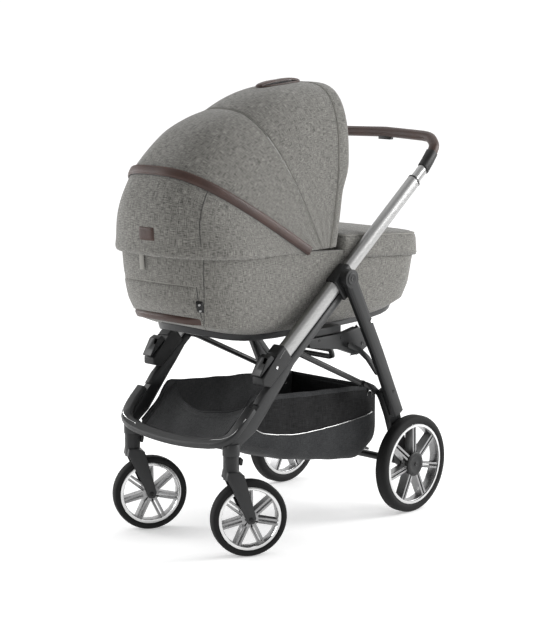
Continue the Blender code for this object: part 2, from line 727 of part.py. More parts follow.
def rear_frame(root):
    moving = body("rear_leg_fold", KNUCKLE, root)
    for side, sign in SIDES:
        attach(moving, rear_leg(side, sign), rear_hub(side, sign))
        centre = Vector((sign * REAR_WHEEL_X, 0, REAR_RADIUS))
        wheel = body(f"rear_wheel_spin_{side}", centre, moving)
        rim, tread = wheel_rim(f"rear_rim_{side}", REAR_RADIUS), tyre(f"rear_tyre_{side}", REAR_RADIUS)
        attach(wheel, moved(rim, *centre), moved(tread, *centre))
    attach(moving, rear_axle())
    attach(body("brake_press", Vector((0, 0, REAR_RADIUS)), moving), brake_pedal())
    return moving


# ---------------------------------------------------------------- folding links


def flat_link(name, points, half, x, thick, sign, look):
    """A flat bar through points given as (y, z), with round ends, one side face at x."""
    path = [Vector((0, y, z)) for y, z in points]
    left, right = [], []
    for here, u, _ in frames(path, Vector((1, 0, 0))):
        left.append((here + u * half).yz)
        right.append((here - u * half).yz)
    outline = []
    for centre, run in ((path[-1], path[-1] - path[-2]), (path[0], path[0] - path[1])):
        edge = left if centre is path[-1] else right[::-1]
        outline += [tuple(p) for p in edge]
        start = Vector(edge[-1]) - centre.yz
        turn = -1 if start.cross(run.yz) < 0 else 1
        for k in range(1, 6):
            angle = turn * math.pi * k / 6
            c, s = math.cos(angle), math.sin(angle)
            outline.append((centre.y + start.x * c - start.y * s, centre.z + start.x * s + start.y * c))
    return prism(name, outline, sign * x, sign * (x + thick), look)


def from_knuckle(place):
    return (KNUCKLE_BACK + place[0], KNUCKLE_HEIGHT + place[1])


BRACE_X = TUBE_X - RAIL[1] - GAP - 2 * BRACE_HALF + 0.004


def brace_tube(side, sign):
    """Front half of the folding brace: a round tube with flattened ends."""
    front, knee = from_knuckle(BRACE_FRONT), from_knuckle(BRACE_KNEE)
    x = sign * (BRACE_X + BRACE_HALF * 0.75)
    start, end = Vector((x, *front)), Vector((x, *knee))
    halves = [(BRACE_HALF, BRACE_HALF * 0.75)] * 2
    tube = sweep(f"brace_tube_{side}", [start, end], halves, BLACK, power=2, count=14)
    ends = [turned("end", [(-BRACE_HALF * 0.75, BRACE_HALF * 1.2), (BRACE_HALF * 0.75, BRACE_HALF * 1.2)],
                   BLACK, 16) for _ in range(2)]
    moved(ends[0], *start)
    moved(ends[1], *end)
    return union(tube, *ends)


def brace_link(side, sign):
    """Rear half of the folding brace: a short curved flat bar."""
    knee, rear = Vector(from_knuckle(BRACE_KNEE)), Vector(from_knuckle(BRACE_REAR))
    bulge = Vector((rear - knee).yx)
    bulge = Vector((-bulge.x, bulge.y)).normalized() * 0.010
    points = [knee, knee.lerp(rear, 0.33) + bulge, knee.lerp(rear, 0.67) + bulge, rear]
    return flat_link(f"brace_link_{side}", [tuple(p) for p in points], LINK_HALF, LINK_X, LINK_THICK, sign,
                     BLACK)


def seat_stay(side, sign):
    """Curved grey link between the seat mount and the rear leg."""
    front, rear = Vector(from_knuckle(STAY_FRONT)), Vector(from_knuckle(STAY_REAR))
    run = rear - front
    bulge = Vector((-run.y, run.x)).normalized() * 0.012
    points = [front, front.lerp(rear, 0.3) + bulge, front.lerp(rear, 0.6) + bulge, rear]
    return flat_link(f"seat_stay_{side}", [tuple(p) for p in points], LINK_HALF, STAY_X, LINK_THICK, sign,
                     CHARCOAL)


def links(root, rear):
    braces = body("brace_fold", Vector((0, *from_knuckle(BRACE_FRONT))), root)
    brace_ends = body("brace_link_fold", Vector((0, *from_knuckle(BRACE_REAR))), rear)
    stays = body("seat_stay_fold", Vector((0, *from_knuckle(STAY_FRONT))), root)
    for side, sign in SIDES:
        attach(braces, brace_tube(side, sign))
        attach(brace_ends, brace_link(side, sign))
        attach(stays, seat_stay(side, sign))


# ---------------------------------------------------------------- front casters, made about their own axis


def fork(name):
    """Two-armed fork. Its swivel axis is the local Z axis and the wheel trails towards +Y."""
    inner = TYRE_WIDTH / 2 + FORK_PLAY
    outer = inner + FORK_PLATE
    crown = 2 * FRONT_RADIUS + 0.006
    top = SOCKET_BASE - 0.001
    post = turned(name, [(crown - 0.002, FORK_POST), (top, FORK_POST)], CHARCOAL, 24, "Z")
    bridge_outline = [(-0.020, crown), (0.030, crown), (0.030, crown + 0.012), (0.012, crown + 0.022),
                      (-0.016, crown + 0.022)]
    pieces = [prism("crown", bridge_outline, -outer, outer, CHARCOAL)]
    z = FRONT_RADIUS
    arm = [(-0.020, crown + 0.010), (0.030, crown + 0.010), (TRAIL + 0.014, z + 0.004),
           (TRAIL + 0.009, z - 0.012), (TRAIL - 0.009, z - 0.012), (TRAIL - 0.016, z + 0.006)]
    for sign in (1, -1):
        pieces.append(prism("arm", rounded(arm, 0.006, 2), sign * inner, sign * outer, CHARCOAL))
    pieces.append(rod("pin", Vector((-inner - 0.003, TRAIL, z)), Vector((inner + 0.003, TRAIL, z)),
                      PIN_RADIUS, SILVER, 20))
    return union(post, *pieces)


def swivel_lock(name):
    """Small catch on the back of the fork post that slides up into the socket's notch."""
    y = FORK_POST + GAP
    top = SOCKET_BASE - 0.009
    outline = [(y, top - 0.020), (y + 0.007, top - 0.020), (y + 0.010, top - 0.004), (y + 0.006, top),
               (y, top)]
    return prism(name, outline, -0.009, 0.009, DARK)


def caster(root, side, sign):
    axis = Vector((sign * FRONT_TRACK / 2, -WHEELBASE, SOCKET_BASE))
    moving = body(f"caster_swivel_{side}", axis, root, turn=-SWIVEL)
    foot = Vector((0, 0, -SOCKET_BASE))
    piece = fork(f"caster_fork_{side}")
    piece.data.transform(Matrix.Translation(foot))
    piece.parent = moving
    catch = body(f"swivel_lock_{side}_slide", axis, moving)
    piece = swivel_lock(f"swivel_lock_{side}")
    piece.data.transform(Matrix.Translation(foot))
    piece.parent = catch
    wheel = body(f"front_wheel_spin_{side}", axis, moving)
    wheel.location = Vector((0, TRAIL, FRONT_RADIUS - SOCKET_BASE))
    wheel_rim(f"front_rim_{side}", FRONT_RADIUS).parent = wheel
    tyre(f"front_tyre_{side}", FRONT_RADIUS).parent = wheel


# ---------------------------------------------------------------- carrycot


def rim_height(y):
    """The carrycot's rim climbs gently towards the head end."""
    return COT_RIM + COT_RISE * max(0.0, COT_FOOT - y)


def rounded_plan(half, start, end, inset, count):
    """Points (x, y) from the foot end round the head end and back: straight sides, rounded ends.
    Each point has its mirror image at the same place counted from the other end of the list."""
    steps = count // 6
    head, head_power = HEAD_CAP
    foot, foot_power = FOOT_CAP
    head, foot = head - inset, foot - inset
    side = []
    for k in range(steps):
        angle = math.pi / 2 * (k + 0.5) / steps
        side.append((half * math.sin(angle) ** (2 / foot_power),
                     end - foot + foot * math.cos(angle) ** (2 / foot_power)))
    for k in range(1, steps + 1):
        side.append((half, end - foot + (start + head - end + foot) * k / (steps + 1)))
    for k in range(steps):
        angle = math.pi / 2 * (k + 0.5) / steps
        side.append((half * math.cos(angle) ** (2 / head_power),
                     start + head - head * math.sin(angle) ** (2 / head_power)))
    return side + [(-x, y) for x, y in reversed(side)]


def cot_ring(level, inset=0.0, count=48):
    """Points round the carrycot at a level from 0 (bottom) to 1 (rim)."""
    shape = ((0.0, 0.105, 0.055, 0.040), (0.10, 0.050, 0.030, 0.022), (0.35, 0.025, 0.018, 0.012),
             (0.70, 0.008, 0.012, 0.004), (1.0, 0.0, 0.0, 0.0))
    for low, high in zip(shape, shape[1:]):
        if low[0] <= level <= high[0]:
            t = (level - low[0]) / (high[0] - low[0])
            head, foot, slim = (low[k] * (1 - t) + high[k] * t for k in (1, 2, 3))
    half = COT_HALF - slim - inset
    start, end = COT_HEAD + head + inset, COT_FOOT - foot - inset
    middle, reach = (start + end) / 2, (end - start) / 2
    ring = []
    for out, y in rounded_plan(half, start, end, inset, count):
        bottom = COT_BOTTOM + 0.035 * ((y - middle) / reach) ** 4
        ring.append(Vector((out, y, bottom + (rim_height(y) - bottom) * level)))
    return ring


def loft(name, rings, look, closed_path=False):
    bm = bmesh.new()
    bridge(bm, [[bm.verts.new(p) for p in ring] for ring in rings], closed_path, across=True)
    return finish(name, bm, look)


def floor_ring(margin, lift):
    """Points round the carrycot's flat floor, which is where the mattress lies."""
    level = COT_BOTTOM + COT_FLOOR + lift
    return [Vector((p.x, p.y, level)) for p in cot_ring(0.05, COT_WALL + margin)]


def tub():
    """Open shell: down the outside, then up the inside."""
    outer = [cot_ring(level) for level in (0.0, 0.10, 0.35, 0.70, 1.0)]
    inner = [cot_ring(level, COT_WALL) for level in (1.0, 0.45)]
    return loft("tub", outer + inner + [floor_ring(0.0, 0.0)], CLOTH)


def tub_base():
    """Plastic band under the tub, with the feet that stand on the seat mounts."""
    lift = Vector((0, 0, -GAP))
    top = [p + lift for p in cot_ring(0.0)]
    low = []
    for p in top:
        low.append(Vector((p.x * 0.97, p.y * 0.985 - 0.006, p.z - COT_BASE_DEPTH * 0.8)))
    floor = COT_BOTTOM - COT_BASE_DEPTH - GAP
    tray = loft("tub_base", [low, top], CHARCOAL)
    feet = []
    for _, sign in SIDES:
        y = KNUCKLE_BACK - 0.030
        feet.append(block("foot", (sign * (COT_HALF - 0.065), y - 0.055, floor),
                          (sign * (MOUNT_IN + 0.018), y + 0.055, floor + 0.0215), CHARCOAL))
    return union(tray, *feet)


def mattress():
    return loft("mattress", [floor_ring(0.004, GAP), floor_ring(0.004, MATTRESS)], WHITE)


def foot_cover():
    """Domed apron that lies on the rim over the foot end."""
    start, end = HOOD_BACK + LIP_DEPTH + 0.022, COT_FOOT + 0.004
    foot, power = FOOT_CAP
    rings = []
    for lift, inset in ((GAP, 0.0), (0.55 * COVER_HEIGHT, 0.001), (0.88 * COVER_HEIGHT, 0.012),
                        (COVER_HEIGHT, 0.040)):
        half, side = COT_HALF + 0.003 - inset, []
        for k in range(COVER_STEPS):
            angle = math.pi / 2 * (k + 0.5) / COVER_STEPS
            side.append((half * math.sin(angle) ** (2 / power),
                         end - foot + (foot - inset) * math.cos(angle) ** (2 / power)))
        side += [(half, start + inset + (end - foot - start - inset) * t) for t in (0.66, 0.33, 0.0)]
        side += [(half * t, start + inset) for t in (0.6, 0.2)]
        plan = side + [(-x, y) for x, y in reversed(side)]
        rings.append([Vector((x, y, rim_height(y) + lift)) for x, y in plan])
    return loft("foot_cover", rings, CLOTH)


# ---------------------------------------------------------------- hood


def hood_shape(angle):
    """Height of the hood's arch over its hinge line and its power, for a bow plane at this angle."""
    for (a, *high), (b, *low) in zip(HOOD_PROFILE, HOOD_PROFILE[1:]):
        if a >= angle >= b:
            t = (a - angle) / (a - b)
            return [p * (1 - t) + q * t for p, q in zip(high, low)]
    return HOOD_PROFILE[-1][1:] if angle < HOOD_PROFILE[-1][0] else HOOD_PROFILE[0][1:]


def arch(angle, inset=0.0, start=None, count=20, aside=0.0, shift=0.0):
    """Points over the hood in one bow plane, from the left side to the right. start is how far
    from the hinge line both ends stop. aside moves them square to the plane, shift backwards."""
    height, power = hood_shape(angle)
    half, top = HOOD_HALF - inset, height - inset
    first = math.asin(min(1.0, (start / top)) ** (power / 2)) if start else 0.0
    points = []
    for k in range(count + 1):
        t = first + (math.pi - 2 * first) * k / count
        c, s = math.cos(t), max(0.0, math.sin(t))
        reach = top * s ** (2 / power)
        x = half * math.copysign(abs(c) ** (2 / power), c)
        points.append(Vector((x, HOOD_BACK + reach * math.cos(angle) - aside * math.sin(angle) + shift,
                              HOOD_HEIGHT + reach * math.sin(angle) + aside * math.cos(angle))))
    return points


def foot_of(angle):
    """How far from the hinge line an arch crosses the carrycot's rim."""
    clear = rim_height(HOOD_BACK - 0.04) + 2 * GAP + 0.006 - HOOD_HEIGHT
    return clear / math.sin(angle)


def shell(name, outer, inner, look):
    """A thin sheet between two grids of points, closed round its edge."""
    bm = bmesh.new()
    top = [[bm.verts.new(p) for p in row] for row in outer]
    under = [[bm.verts.new(p) for p in row] for row in inner]
    last = len(outer[0]) - 1
    for grid in (top, under):
        for low, high in zip(grid, grid[1:]):
            for a, b, c, d in zip(low, low[1:], high[1:], high):
                bm.faces.new((a, b, c, d))
    for row in (0, -1):
        for k in range(last):
            bm.faces.new((top[row][k], top[row][k + 1], under[row][k + 1], under[row][k]))
    for k in (0, last):
        for a, b, c, d in zip(top, top[1:], under[1:], under):
            bm.faces.new((a[k], b[k], c[k], d[k]))
    return finish(name, bm, look)


def hood_panel(name, first, last, margin, lip=0.0):
    """Cloth between two bow planes, a margin short of both; a lip stands out past the last one."""
    rows = [(first, -margin, 0.0)]
    rows += [(first + (last - first) * k / 3, 0.0, 0.0) for k in (1, 2)]
    rows += [(last, GAP, 0.0), (last, GAP, lip)] if lip else [(last, GAP, 0.0)]
    grids = []
    for inset in (0.0, HOOD_CLOTH):
        grids.append([arch(angle, inset, foot_of(angle), aside=aside, shift=shift)
                      for angle, aside, shift in rows])
    return shell(name, *grids, CLOTH)


def foot_line(half, start, end, inset, count):
    """Points (x, y) from one side round the head end to the other, evenly spaced."""
    reach, power = HEAD_CAP[0] - inset, HEAD_CAP[1]
    fine = [(half, end)]
    for k in range(FOOT_FINE + 1):
        angle = math.pi / 2 * k / FOOT_FINE
        fine.append((half * math.cos(angle) ** (2 / power),
                     start + reach - reach * math.sin(angle) ** (2 / power)))
    fine += [(-x, y) for x, y in reversed(fine[:-1])]
    fine = [Vector(p) for p in fine]
    lengths = [0.0]
    for a, b in zip(fine, fine[1:]):
        lengths.append(lengths[-1] + (b - a).length)
    points = []
    for k in range(count + 1):
        wanted = lengths[-1] * k / count
        i = max(1, next((i for i, far in enumerate(lengths) if far >= wanted - 1e-9), len(fine) - 1))
        t = (wanted - lengths[i - 1]) / (lengths[i] - lengths[i - 1])
        points.append(fine[i - 1].lerp(fine[i], t))
    return points


def hood_back_panel():
    """Cloth from the carrycot's head end up to the trim bow."""
    grids = []
    for inset in (0.0, HOOD_CLOTH):
        top = arch(TRIM_ANGLE, inset, foot_of(TRIM_ANGLE), aside=BOW_SECTION[0] + 2 * GAP)
        meet = top[0].y
        low = []
        head = HOOD_BACK - HOOD_REACH + inset
        for x, y in foot_line(HOOD_HALF - inset, head, meet, inset, len(top) - 1):
            low.append(Vector((x, y, rim_height(y) + 0.0015)))
        rows = []
        for level in (0.0, 0.25, 0.5, 0.75, 1.0):
            bulge = 0.018 * math.sin(math.pi * level)
            rows.append([a.lerp(b, level) + Vector((0, -bulge * math.sin(math.pi * k / (len(top) - 1)), 0))
                         for k, (a, b) in enumerate(zip(low, top))])
        grids.append(rows)
    return shell("hood_back_panel", *grids, CLOTH)


def bow(name, angle, inset, look, start=0.0, half=BOW_SECTION):
    """A hoop in one bow plane, from hinge to hinge."""
    points = arch(angle, inset, start or 0.0001, count=18)
    normal = Vector((0, -math.sin(angle), math.cos(angle)))
    return sweep(name, points, (half[1], half[0]), look, side=normal, power=4, count=8)


def carry_handle(angle):
    """Leather strap handle on top of the hood, over a slot in the cloth."""
    path = []
    for k in range(11):
        t = math.pi * k / 10
        here = angle + 0.070 / hood_shape(angle)[0] * math.cos(t)
        top = hood_shape(here)[0] + STRAP[0] + 0.002 + 0.016 * math.sin(t)
        path.append(Vector((0, HOOD_BACK + top * math.cos(here), HOOD_HEIGHT + top * math.sin(here))))
    return sweep("carry_handle", path, STRAP, LEATHER, power=4, count=8)


def carrycot(root):
    moving = body("carrycot_lift", Vector((0, KNUCKLE_BACK, COT_BOTTOM)), root)
    hinge = Vector((0, HOOD_BACK, HOOD_HEIGHT))
    trim = bow("hood_trim_bow", TRIM_ANGLE, 0.001, LEATHER, start=foot_of(TRIM_ANGLE) + 0.004)
    attach(moving, tub(), tub_base(), mattress(), foot_cover(), hood_back_panel(), trim)
    inset = HOOD_CLOTH + BOW_SECTION[1] + 0.0085 + COT_WALL
    mid = body("hood_fold", hinge, moving)
    attach(mid, bow("hood_mid_bow", MID_ANGLE, inset, DARK),
           hood_panel("hood_front_panel", TRIM_ANGLE, MID_ANGLE, BOW_SECTION[0] + 2 * GAP))
    rim = body("hood_rim_fold", hinge, mid)
    attach(rim, bow("hood_top_bow", TOP_ANGLE, inset + 2 * BOW_STEP, DARK), carry_handle(TOP_ANGLE),
           bow("hood_rim_bow", RIM_ANGLE, inset + 4 * BOW_STEP, DARK),
           hood_panel("hood_rear_panel", MID_ANGLE, RIM_ANGLE, GAP, LIP_DEPTH))


def centre_over_origin(root):
    """Moves the stroller so that its extents are centred front to back."""
    bpy.context.view_layer.update()
    reach = [(obj.matrix_world @ Vector(corner)).y for obj in bpy.data.objects if obj.type == "MESH"
             for corner in obj.bound_box]
    root.location.y -= (min(reach) + max(reach)) / 2


def main():
    for obj in list(bpy.data.objects):
        bpy.data.objects.remove(obj)
    root = chassis()
    handle(root)
    rear = rear_frame(root)
    links(root, rear)
    for side, sign in SIDES:
        caster(root, side, sign)
    carrycot(root)
    centre_over_origin(root)
    bpy.context.view_layer.update()


main()
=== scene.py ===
import bisect
import json
import math

import bmesh
import bpy
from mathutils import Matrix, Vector


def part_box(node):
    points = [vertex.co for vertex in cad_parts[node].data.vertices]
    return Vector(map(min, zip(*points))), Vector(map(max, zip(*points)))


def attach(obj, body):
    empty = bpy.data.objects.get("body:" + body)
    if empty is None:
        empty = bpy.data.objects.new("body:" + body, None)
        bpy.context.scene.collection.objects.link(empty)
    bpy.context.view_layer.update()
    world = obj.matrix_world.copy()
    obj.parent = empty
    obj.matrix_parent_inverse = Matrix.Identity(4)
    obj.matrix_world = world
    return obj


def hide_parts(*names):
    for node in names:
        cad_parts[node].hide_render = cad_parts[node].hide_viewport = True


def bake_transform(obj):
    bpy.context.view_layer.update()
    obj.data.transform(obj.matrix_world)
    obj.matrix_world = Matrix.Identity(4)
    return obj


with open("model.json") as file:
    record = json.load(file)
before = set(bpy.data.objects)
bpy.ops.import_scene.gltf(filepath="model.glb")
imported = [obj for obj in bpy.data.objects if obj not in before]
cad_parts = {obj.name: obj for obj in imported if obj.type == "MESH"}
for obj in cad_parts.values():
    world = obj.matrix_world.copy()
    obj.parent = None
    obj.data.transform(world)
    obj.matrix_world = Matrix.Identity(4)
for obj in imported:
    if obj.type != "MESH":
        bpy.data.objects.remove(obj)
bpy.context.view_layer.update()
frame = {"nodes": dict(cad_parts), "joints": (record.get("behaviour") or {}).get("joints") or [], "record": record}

bodyOf = {node: body for body, nodes in frame["record"]["behaviour"]["bodies"].items() for node in nodes}
jointAt = {joint["name"]: Vector(joint["pos_m"]) for joint in frame["joints"] if "pos_m" in joint}
sides = (("left", 1), ("right", -1))
rearY = (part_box("rear_axle")[0].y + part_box("rear_axle")[1].y) / 2


# working on one piece at a time


def only(obj):
    bpy.ops.object.select_all(action="DESELECT")
    obj.select_set(True)
    bpy.context.view_layer.objects.active = obj
    return obj


def settle(obj):
    # place and modifiers go into the mesh, so the object ends at the origin
    only(obj)
    bpy.ops.object.transform_apply(location=True, rotation=True, scale=True)
    for step in list(obj.modifiers):
        bpy.ops.object.modifier_apply(modifier=step.name)
    return obj


def tidyMesh(obj, angle=35, merge=1e-5, normals=True):
    only(obj)
    bpy.ops.object.mode_set(mode="EDIT")
    bpy.ops.mesh.select_all(action="SELECT")
    bpy.ops.mesh.remove_doubles(threshold=merge)
    if normals:
        bpy.ops.mesh.normals_make_consistent(inside=False)
    bpy.ops.object.mode_set(mode="OBJECT")
    bpy.ops.object.shade_smooth_by_angle(angle=math.radians(angle))
    return obj


def softenEdges(obj, width, segments=2, angle=30):
    step = obj.modifiers.new("edges", "BEVEL")
    step.width = width
    step.segments = segments
    step.limit_method = "ANGLE"
    step.angle_limit = math.radians(angle)
    step.harden_normals = False
    return settle(obj)


def newObject(name, data):
    obj = bpy.data.objects.new(name, data)
    bpy.context.scene.collection.objects.link(obj)
    return obj


def meshPiece(name, points, faces, uvs=None):
    mesh = bpy.data.meshes.new(name)
    mesh.from_pydata([tuple(p) for p in points], [], faces)
    if uvs:
        layer = mesh.uv_layers.new(name="cloth")
        for face in mesh.polygons:
            for corner, uv in zip(face.loop_indices, uvs[face.index]):
                layer.data[corner].uv = uv
    return only(newObject(name, mesh))


def dress(obj, material, body, replaced=()):
    obj.data.materials.clear()
    obj.data.materials.append(material)
    if body:
        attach(obj, body)
    if replaced:
        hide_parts(*replaced)
    return obj


def smoothLine(points, per=6, closed=False):
    points = [Vector(p) for p in points]
    if closed:
        ends = [points[-1]] + points + points[:2]
    else:
        ends = [points[0] * 2 - points[1]] + points + [points[-1] * 2 - points[-2]]
    line = []
    for a, b, c, d in zip(ends, ends[1:], ends[2:], ends[3:]):
        for k in range(per):
            t = k / per
            line.append(0.5 * (2 * b + (c - a) * t + (2 * a - 5 * b + 4 * c - d) * t**2
                               + (3 * b - a - 3 * c + d) * t**3))
    if not closed:
        line.append(points[-1])
    return line


def distances(points):
    # how far along the line each point is
    far = [0.0]
    for a, b in zip(points, points[1:]):
        far.append(far[-1] + (b - a).length)
    return far


def pointAt(points, far, wanted):
    i = min(max(1, bisect.bisect_left(far, wanted)), len(far) - 1)
    return points[i - 1].lerp(points[i], (wanted - far[i - 1]) / max(1e-9, far[i] - far[i - 1]))


def evenLine(points, count, closed=False):
    # the same line with evenly spaced points
    points = [Vector(p) for p in points]
    if closed:
        points.append(points[0])
    far = distances(points)
    return [pointAt(points, far, far[-1] * k / count) for k in range(count if closed else count + 1)]


def lineLength(points):
    return distances(points)[-1]


def roundPoint(angle, first, second, power):
    # a point of an oval whose corners the power squares off
    c, s = math.cos(angle), math.sin(angle)
    return (first * math.copysign(abs(c) ** power, c), second * math.copysign(abs(s) ** power, s))


def spread(first, last, count):
    return [first + (last - first) * k / count for k in range(count + 1)]


def gridFaces(rows, count, closed=False):
    # the quads of a grid of points, row by row
    return [(r * count + k, r * count + (k + 1) % count, (r + 1) * count + (k + 1) % count,
             (r + 1) * count + k) for r in range(rows - 1) for k in range(count if closed else count - 1)]


def gridMap(rows, widest, closed=False):
    # UVs in metres for the same quads: along the widest row, and down the rows
    down = [0.0]
    for a, b in zip(rows, rows[1:]):
        down.append(down[-1] + sum((q - p).length for p, q in zip(a, b)) / len(a))
    along = distances(widest + widest[:1] if closed else widest)
    return [[(a, c), (b, c), (b, d), (a, d)] for c, d in zip(down, down[1:])
            for a, b in zip(along, along[1:])]


def sheetPiece(name, rows, thickness=0.0016, closed=False, levels=1, inside=-1):
    # rows of points make one cloth, with its own UV map in metres
    obj = meshPiece(name, [p for row in rows for p in row], gridFaces(len(rows), len(rows[0]), closed),
                    gridMap(rows, rows[len(rows) // 2], closed))
    if thickness:
        step = obj.modifiers.new("cloth", "SOLIDIFY")
        step.thickness = thickness
        step.offset = inside
        step.use_even_offset = False
    if levels:
        step = obj.modifiers.new("smooth", "SUBSURF")
        step.levels = levels
        step.render_levels = levels
    settle(obj)
    bpy.ops.object.shade_smooth()
    return obj


def flatArea(rows, closed=False):
    count, total = len(rows[0]), 0.0
    for a, b in zip(rows, rows[1:]):
        for k in range(count if closed else count - 1):
            n = (k + 1) % count
            total += (a[n] - a[k]).cross(b[k] - a[k]).length / 2 + (a[n] - b[n]).cross(b[k] - b[n]).length / 2
    return total


def pipe(name, line, radius, sides=10, closed=False):
    curve = bpy.data.curves.new(name, "CURVE")
    curve.dimensions = "3D"
    curve.bevel_depth = radius
    curve.bevel_resolution = max(1, sides // 4 - 1)
    curve.use_fill_caps = not closed
    spline = curve.splines.new("POLY")
    spline.points.add(len(line) - 1)
    for point, place in zip(spline.points, line):
        point.co = (*place, 1)
    spline.use_cyclic_u = closed
    only(newObject(name, curve))
    bpy.ops.object.convert(target="MESH")
    return tidyMesh(bpy.context.view_layer.objects.active, 50)


def ribbon(name, line, ups, half, thick, crown=0.0, closed=False):
    # a flat band along a line; ups point away from what it lies on
    section = [(-1, 0.0), (-1, 0.6), (-0.92, 1.0), (-0.45, 1.0 + crown * 0.7), (0, 1.0 + crown),
               (0.45, 1.0 + crown * 0.7), (0.92, 1.0), (1, 0.6), (1, 0.0)]
    rows, last = [], len(line) - 1
    for k, here in enumerate(line):
        before, after = line[max(k - 1, 0)], line[min(k + 1, last)]
        if closed:
            before, after = line[k - 1], line[(k + 1) % len(line)]
        run = (after - before).normalized()
        across = run.cross(ups[k]).normalized()
        up = across.cross(run).normalized()
        rows.append([here + across * (a * half) + up * (b * thick) for a, b in section])
    if closed:
        rows.append(rows[0])
    count = len(section)
    points = [p for row in rows for p in row]
    faces, uvs, far = [], [], 0.0
    for r in range(len(rows) - 1):
        step = (rows[r + 1][4] - rows[r][4]).length
        for k in range(count):
            n = (k + 1) % count
            faces.append((r * count + k, (r + 1) * count + k, (r + 1) * count + n, r * count + n))
            u0, u1 = 2 * half * k / count, 2 * half * (k + 1) / count
            uvs.append([(u0, far), (u0, far + step), (u1, far + step), (u1, far)])
        far += step
    if not closed:
        faces += [tuple(range(count)), tuple(len(points) - 1 - k for k in range(count))]
        uvs += [[(0, 0)] * count] * 2
    return tidyMesh(meshPiece(name, points, faces, uvs), 60)


def stitches(name, line, ups, length=0.0032, gap=0.0018, radius=0.00042, lift=0.0002):
    # short threads lying along a seam
    total = lineLength(line)
    count = max(1, int(total / (length + gap)))
    places = evenLine(line, count * 2)
    places = [places[k:k + 2] for k in range(0, count * 2, 2)]
    share = length / (length + gap)
    points, faces = [], []
    for k, (a, b) in enumerate(places):
        up = ups[min(len(ups) - 1, int(k / count * len(ups)))].normalized()
        b = a + (b - a) * 2 * share
        run = (b - a).normalized()
        across = run.cross(up).normalized()
        start = len(points)
        for t, size in ((0.0, 0.35), (0.25, 1.0), (0.75, 1.0), (1.0, 0.35)):
            here = a.lerp(b, t) + up * (lift + (radius * 0.4 if 0 < t < 1 else 0))
            for turn in range(6):
                angle = math.pi / 3 * turn
                points.append(here + across * (math.cos(angle) * radius * size)
                              + up * (math.sin(angle) * radius * size))
        for ring in range(3):
            for turn in range(6):
                n = (turn + 1) % 6
                base = start + ring * 6
                faces.append((base + turn, base + 6 + turn, base + 6 + n, base + n))
        faces.append(tuple(start + i for i in range(6)))
        faces.append(tuple(start + 23 - i for i in range(6)))
    obj = meshPiece(name, points, faces)
    bpy.ops.object.shade_smooth_by_angle(angle=math.radians(60))
    return obj


def lathe(name, profile, centre, axis, steps=64, start=None):
    # a profile of (along, radius) spun about an axis, closed at the poles by merging
    axis = Vector(axis).normalized()
    out = Vector(start) if start else axis.orthogonal().normalized()
    out = (out - axis * out.dot(axis)).normalized()
    line = [Vector(centre) + axis * a + out * r for a, r in profile]
    obj = meshPiece(name, line, [])
    bm = bmesh.new()
    verts = [bm.verts.new(p) for p in line]
    for a, b in zip(verts, verts[1:]):
        bm.edges.new((a, b))
    bm.to_mesh(obj.data)
    bm.free()
    only(obj)
    bpy.ops.object.mode_set(mode="EDIT")
    bpy.ops.mesh.select_all(action="SELECT")
    bpy.ops.mesh.spin(steps=steps, angle=2 * math.pi, center=Vector(centre), axis=axis)
    bpy.ops.object.mode_set(mode="OBJECT")
    return tidyMesh(obj, 35, 2e-5)


def rivet(name, centre, axis, radius, height, dish=0.35):
    # a turned head with a rounded rim and a shallow dish
    profile = [(-height * 0.5, 0), (-height * 0.5, radius), (height * 0.6, radius),
               (height * 0.9, radius * 0.93), (height, radius * 0.8), (height * (1 - dish), radius * 0.62),
               (height * (1 - dish), 0)]
    return lathe(name, profile, centre, axis, 32)


def refined(node, width=0.0012, segments=2, angle=28):
    # a merged copy of a CAD node, with its edges softened
    mesh = frame["nodes"][node].data.copy()
    obj = only(newObject(node + "Shell", mesh))
    bpy.ops.object.mode_set(mode="EDIT")
    bpy.ops.mesh.select_all(action="SELECT")
    bpy.ops.mesh.remove_doubles(threshold=1e-5)
    bpy.ops.mesh.dissolve_limited(angle_limit=math.radians(2.5))
    bpy.ops.object.mode_set(mode="OBJECT")
    if width:
        softenEdges(obj, width, segments, angle)
    only(obj)
    bpy.ops.object.shade_smooth_by_angle(angle=math.radians(32))
    return obj


def refine(node, material, **settings):
    return dress(refined(node, **settings), material, bodyOf[node], [node])


def cordPiece(name, line, radius, material, body, sides=8, closed=False):
    return dress(pipe(name, line, radius, sides, closed), material, body)


# length, gap and radius of a stitch
threadSizes = {"hood": (0.0034, 0.0022, 0.0004), "leather": (0.0036, 0.0020, 0.0005),
               "tag": (0.0026, 0.0016, 0.00035), "tub": (0.0034, 0.0024, 0.0004),
               "pocket": (0.0036, 0.0024, 0.00045), "basket": (0.0040, 0.0030, 0.0004),
               "canvas": (0.0048, 0.0034, 0.0006)}


def sewPiece(name, line, ups, sizes, thread, body):
    return dress(stitches(name, line, ups, *threadSizes[sizes]), thread, body)


def rivetPiece(name, centre, axis, sizes, material, body):
    # sizes are the radius, height and dish of the head
    return dress(rivet(name, centre, axis, *sizes), material, body)


# finishes


def addNode(tree, kind, **settings):
    made = tree.nodes.new(kind)
    for key, value in settings.items():
        if key in made.inputs:
            made.inputs[key].default_value = value
        else:
            setattr(made, key, value)
    return made


def newGroup(name, inputs, outputs):
    tree = bpy.data.node_groups.new(name, "ShaderNodeTree")
    for label, kind, value in inputs:
        made = tree.interface.new_socket(label, in_out="INPUT", socket_type="NodeSocket" + kind)
        if value is not None:
            made.default_value = value
    for label, kind in outputs:
        tree.interface.new_socket(label, in_out="OUTPUT", socket_type="NodeSocket" + kind)
    return tree, tree.nodes.new("NodeGroupInput"), tree.nodes.new("NodeGroupOutput")


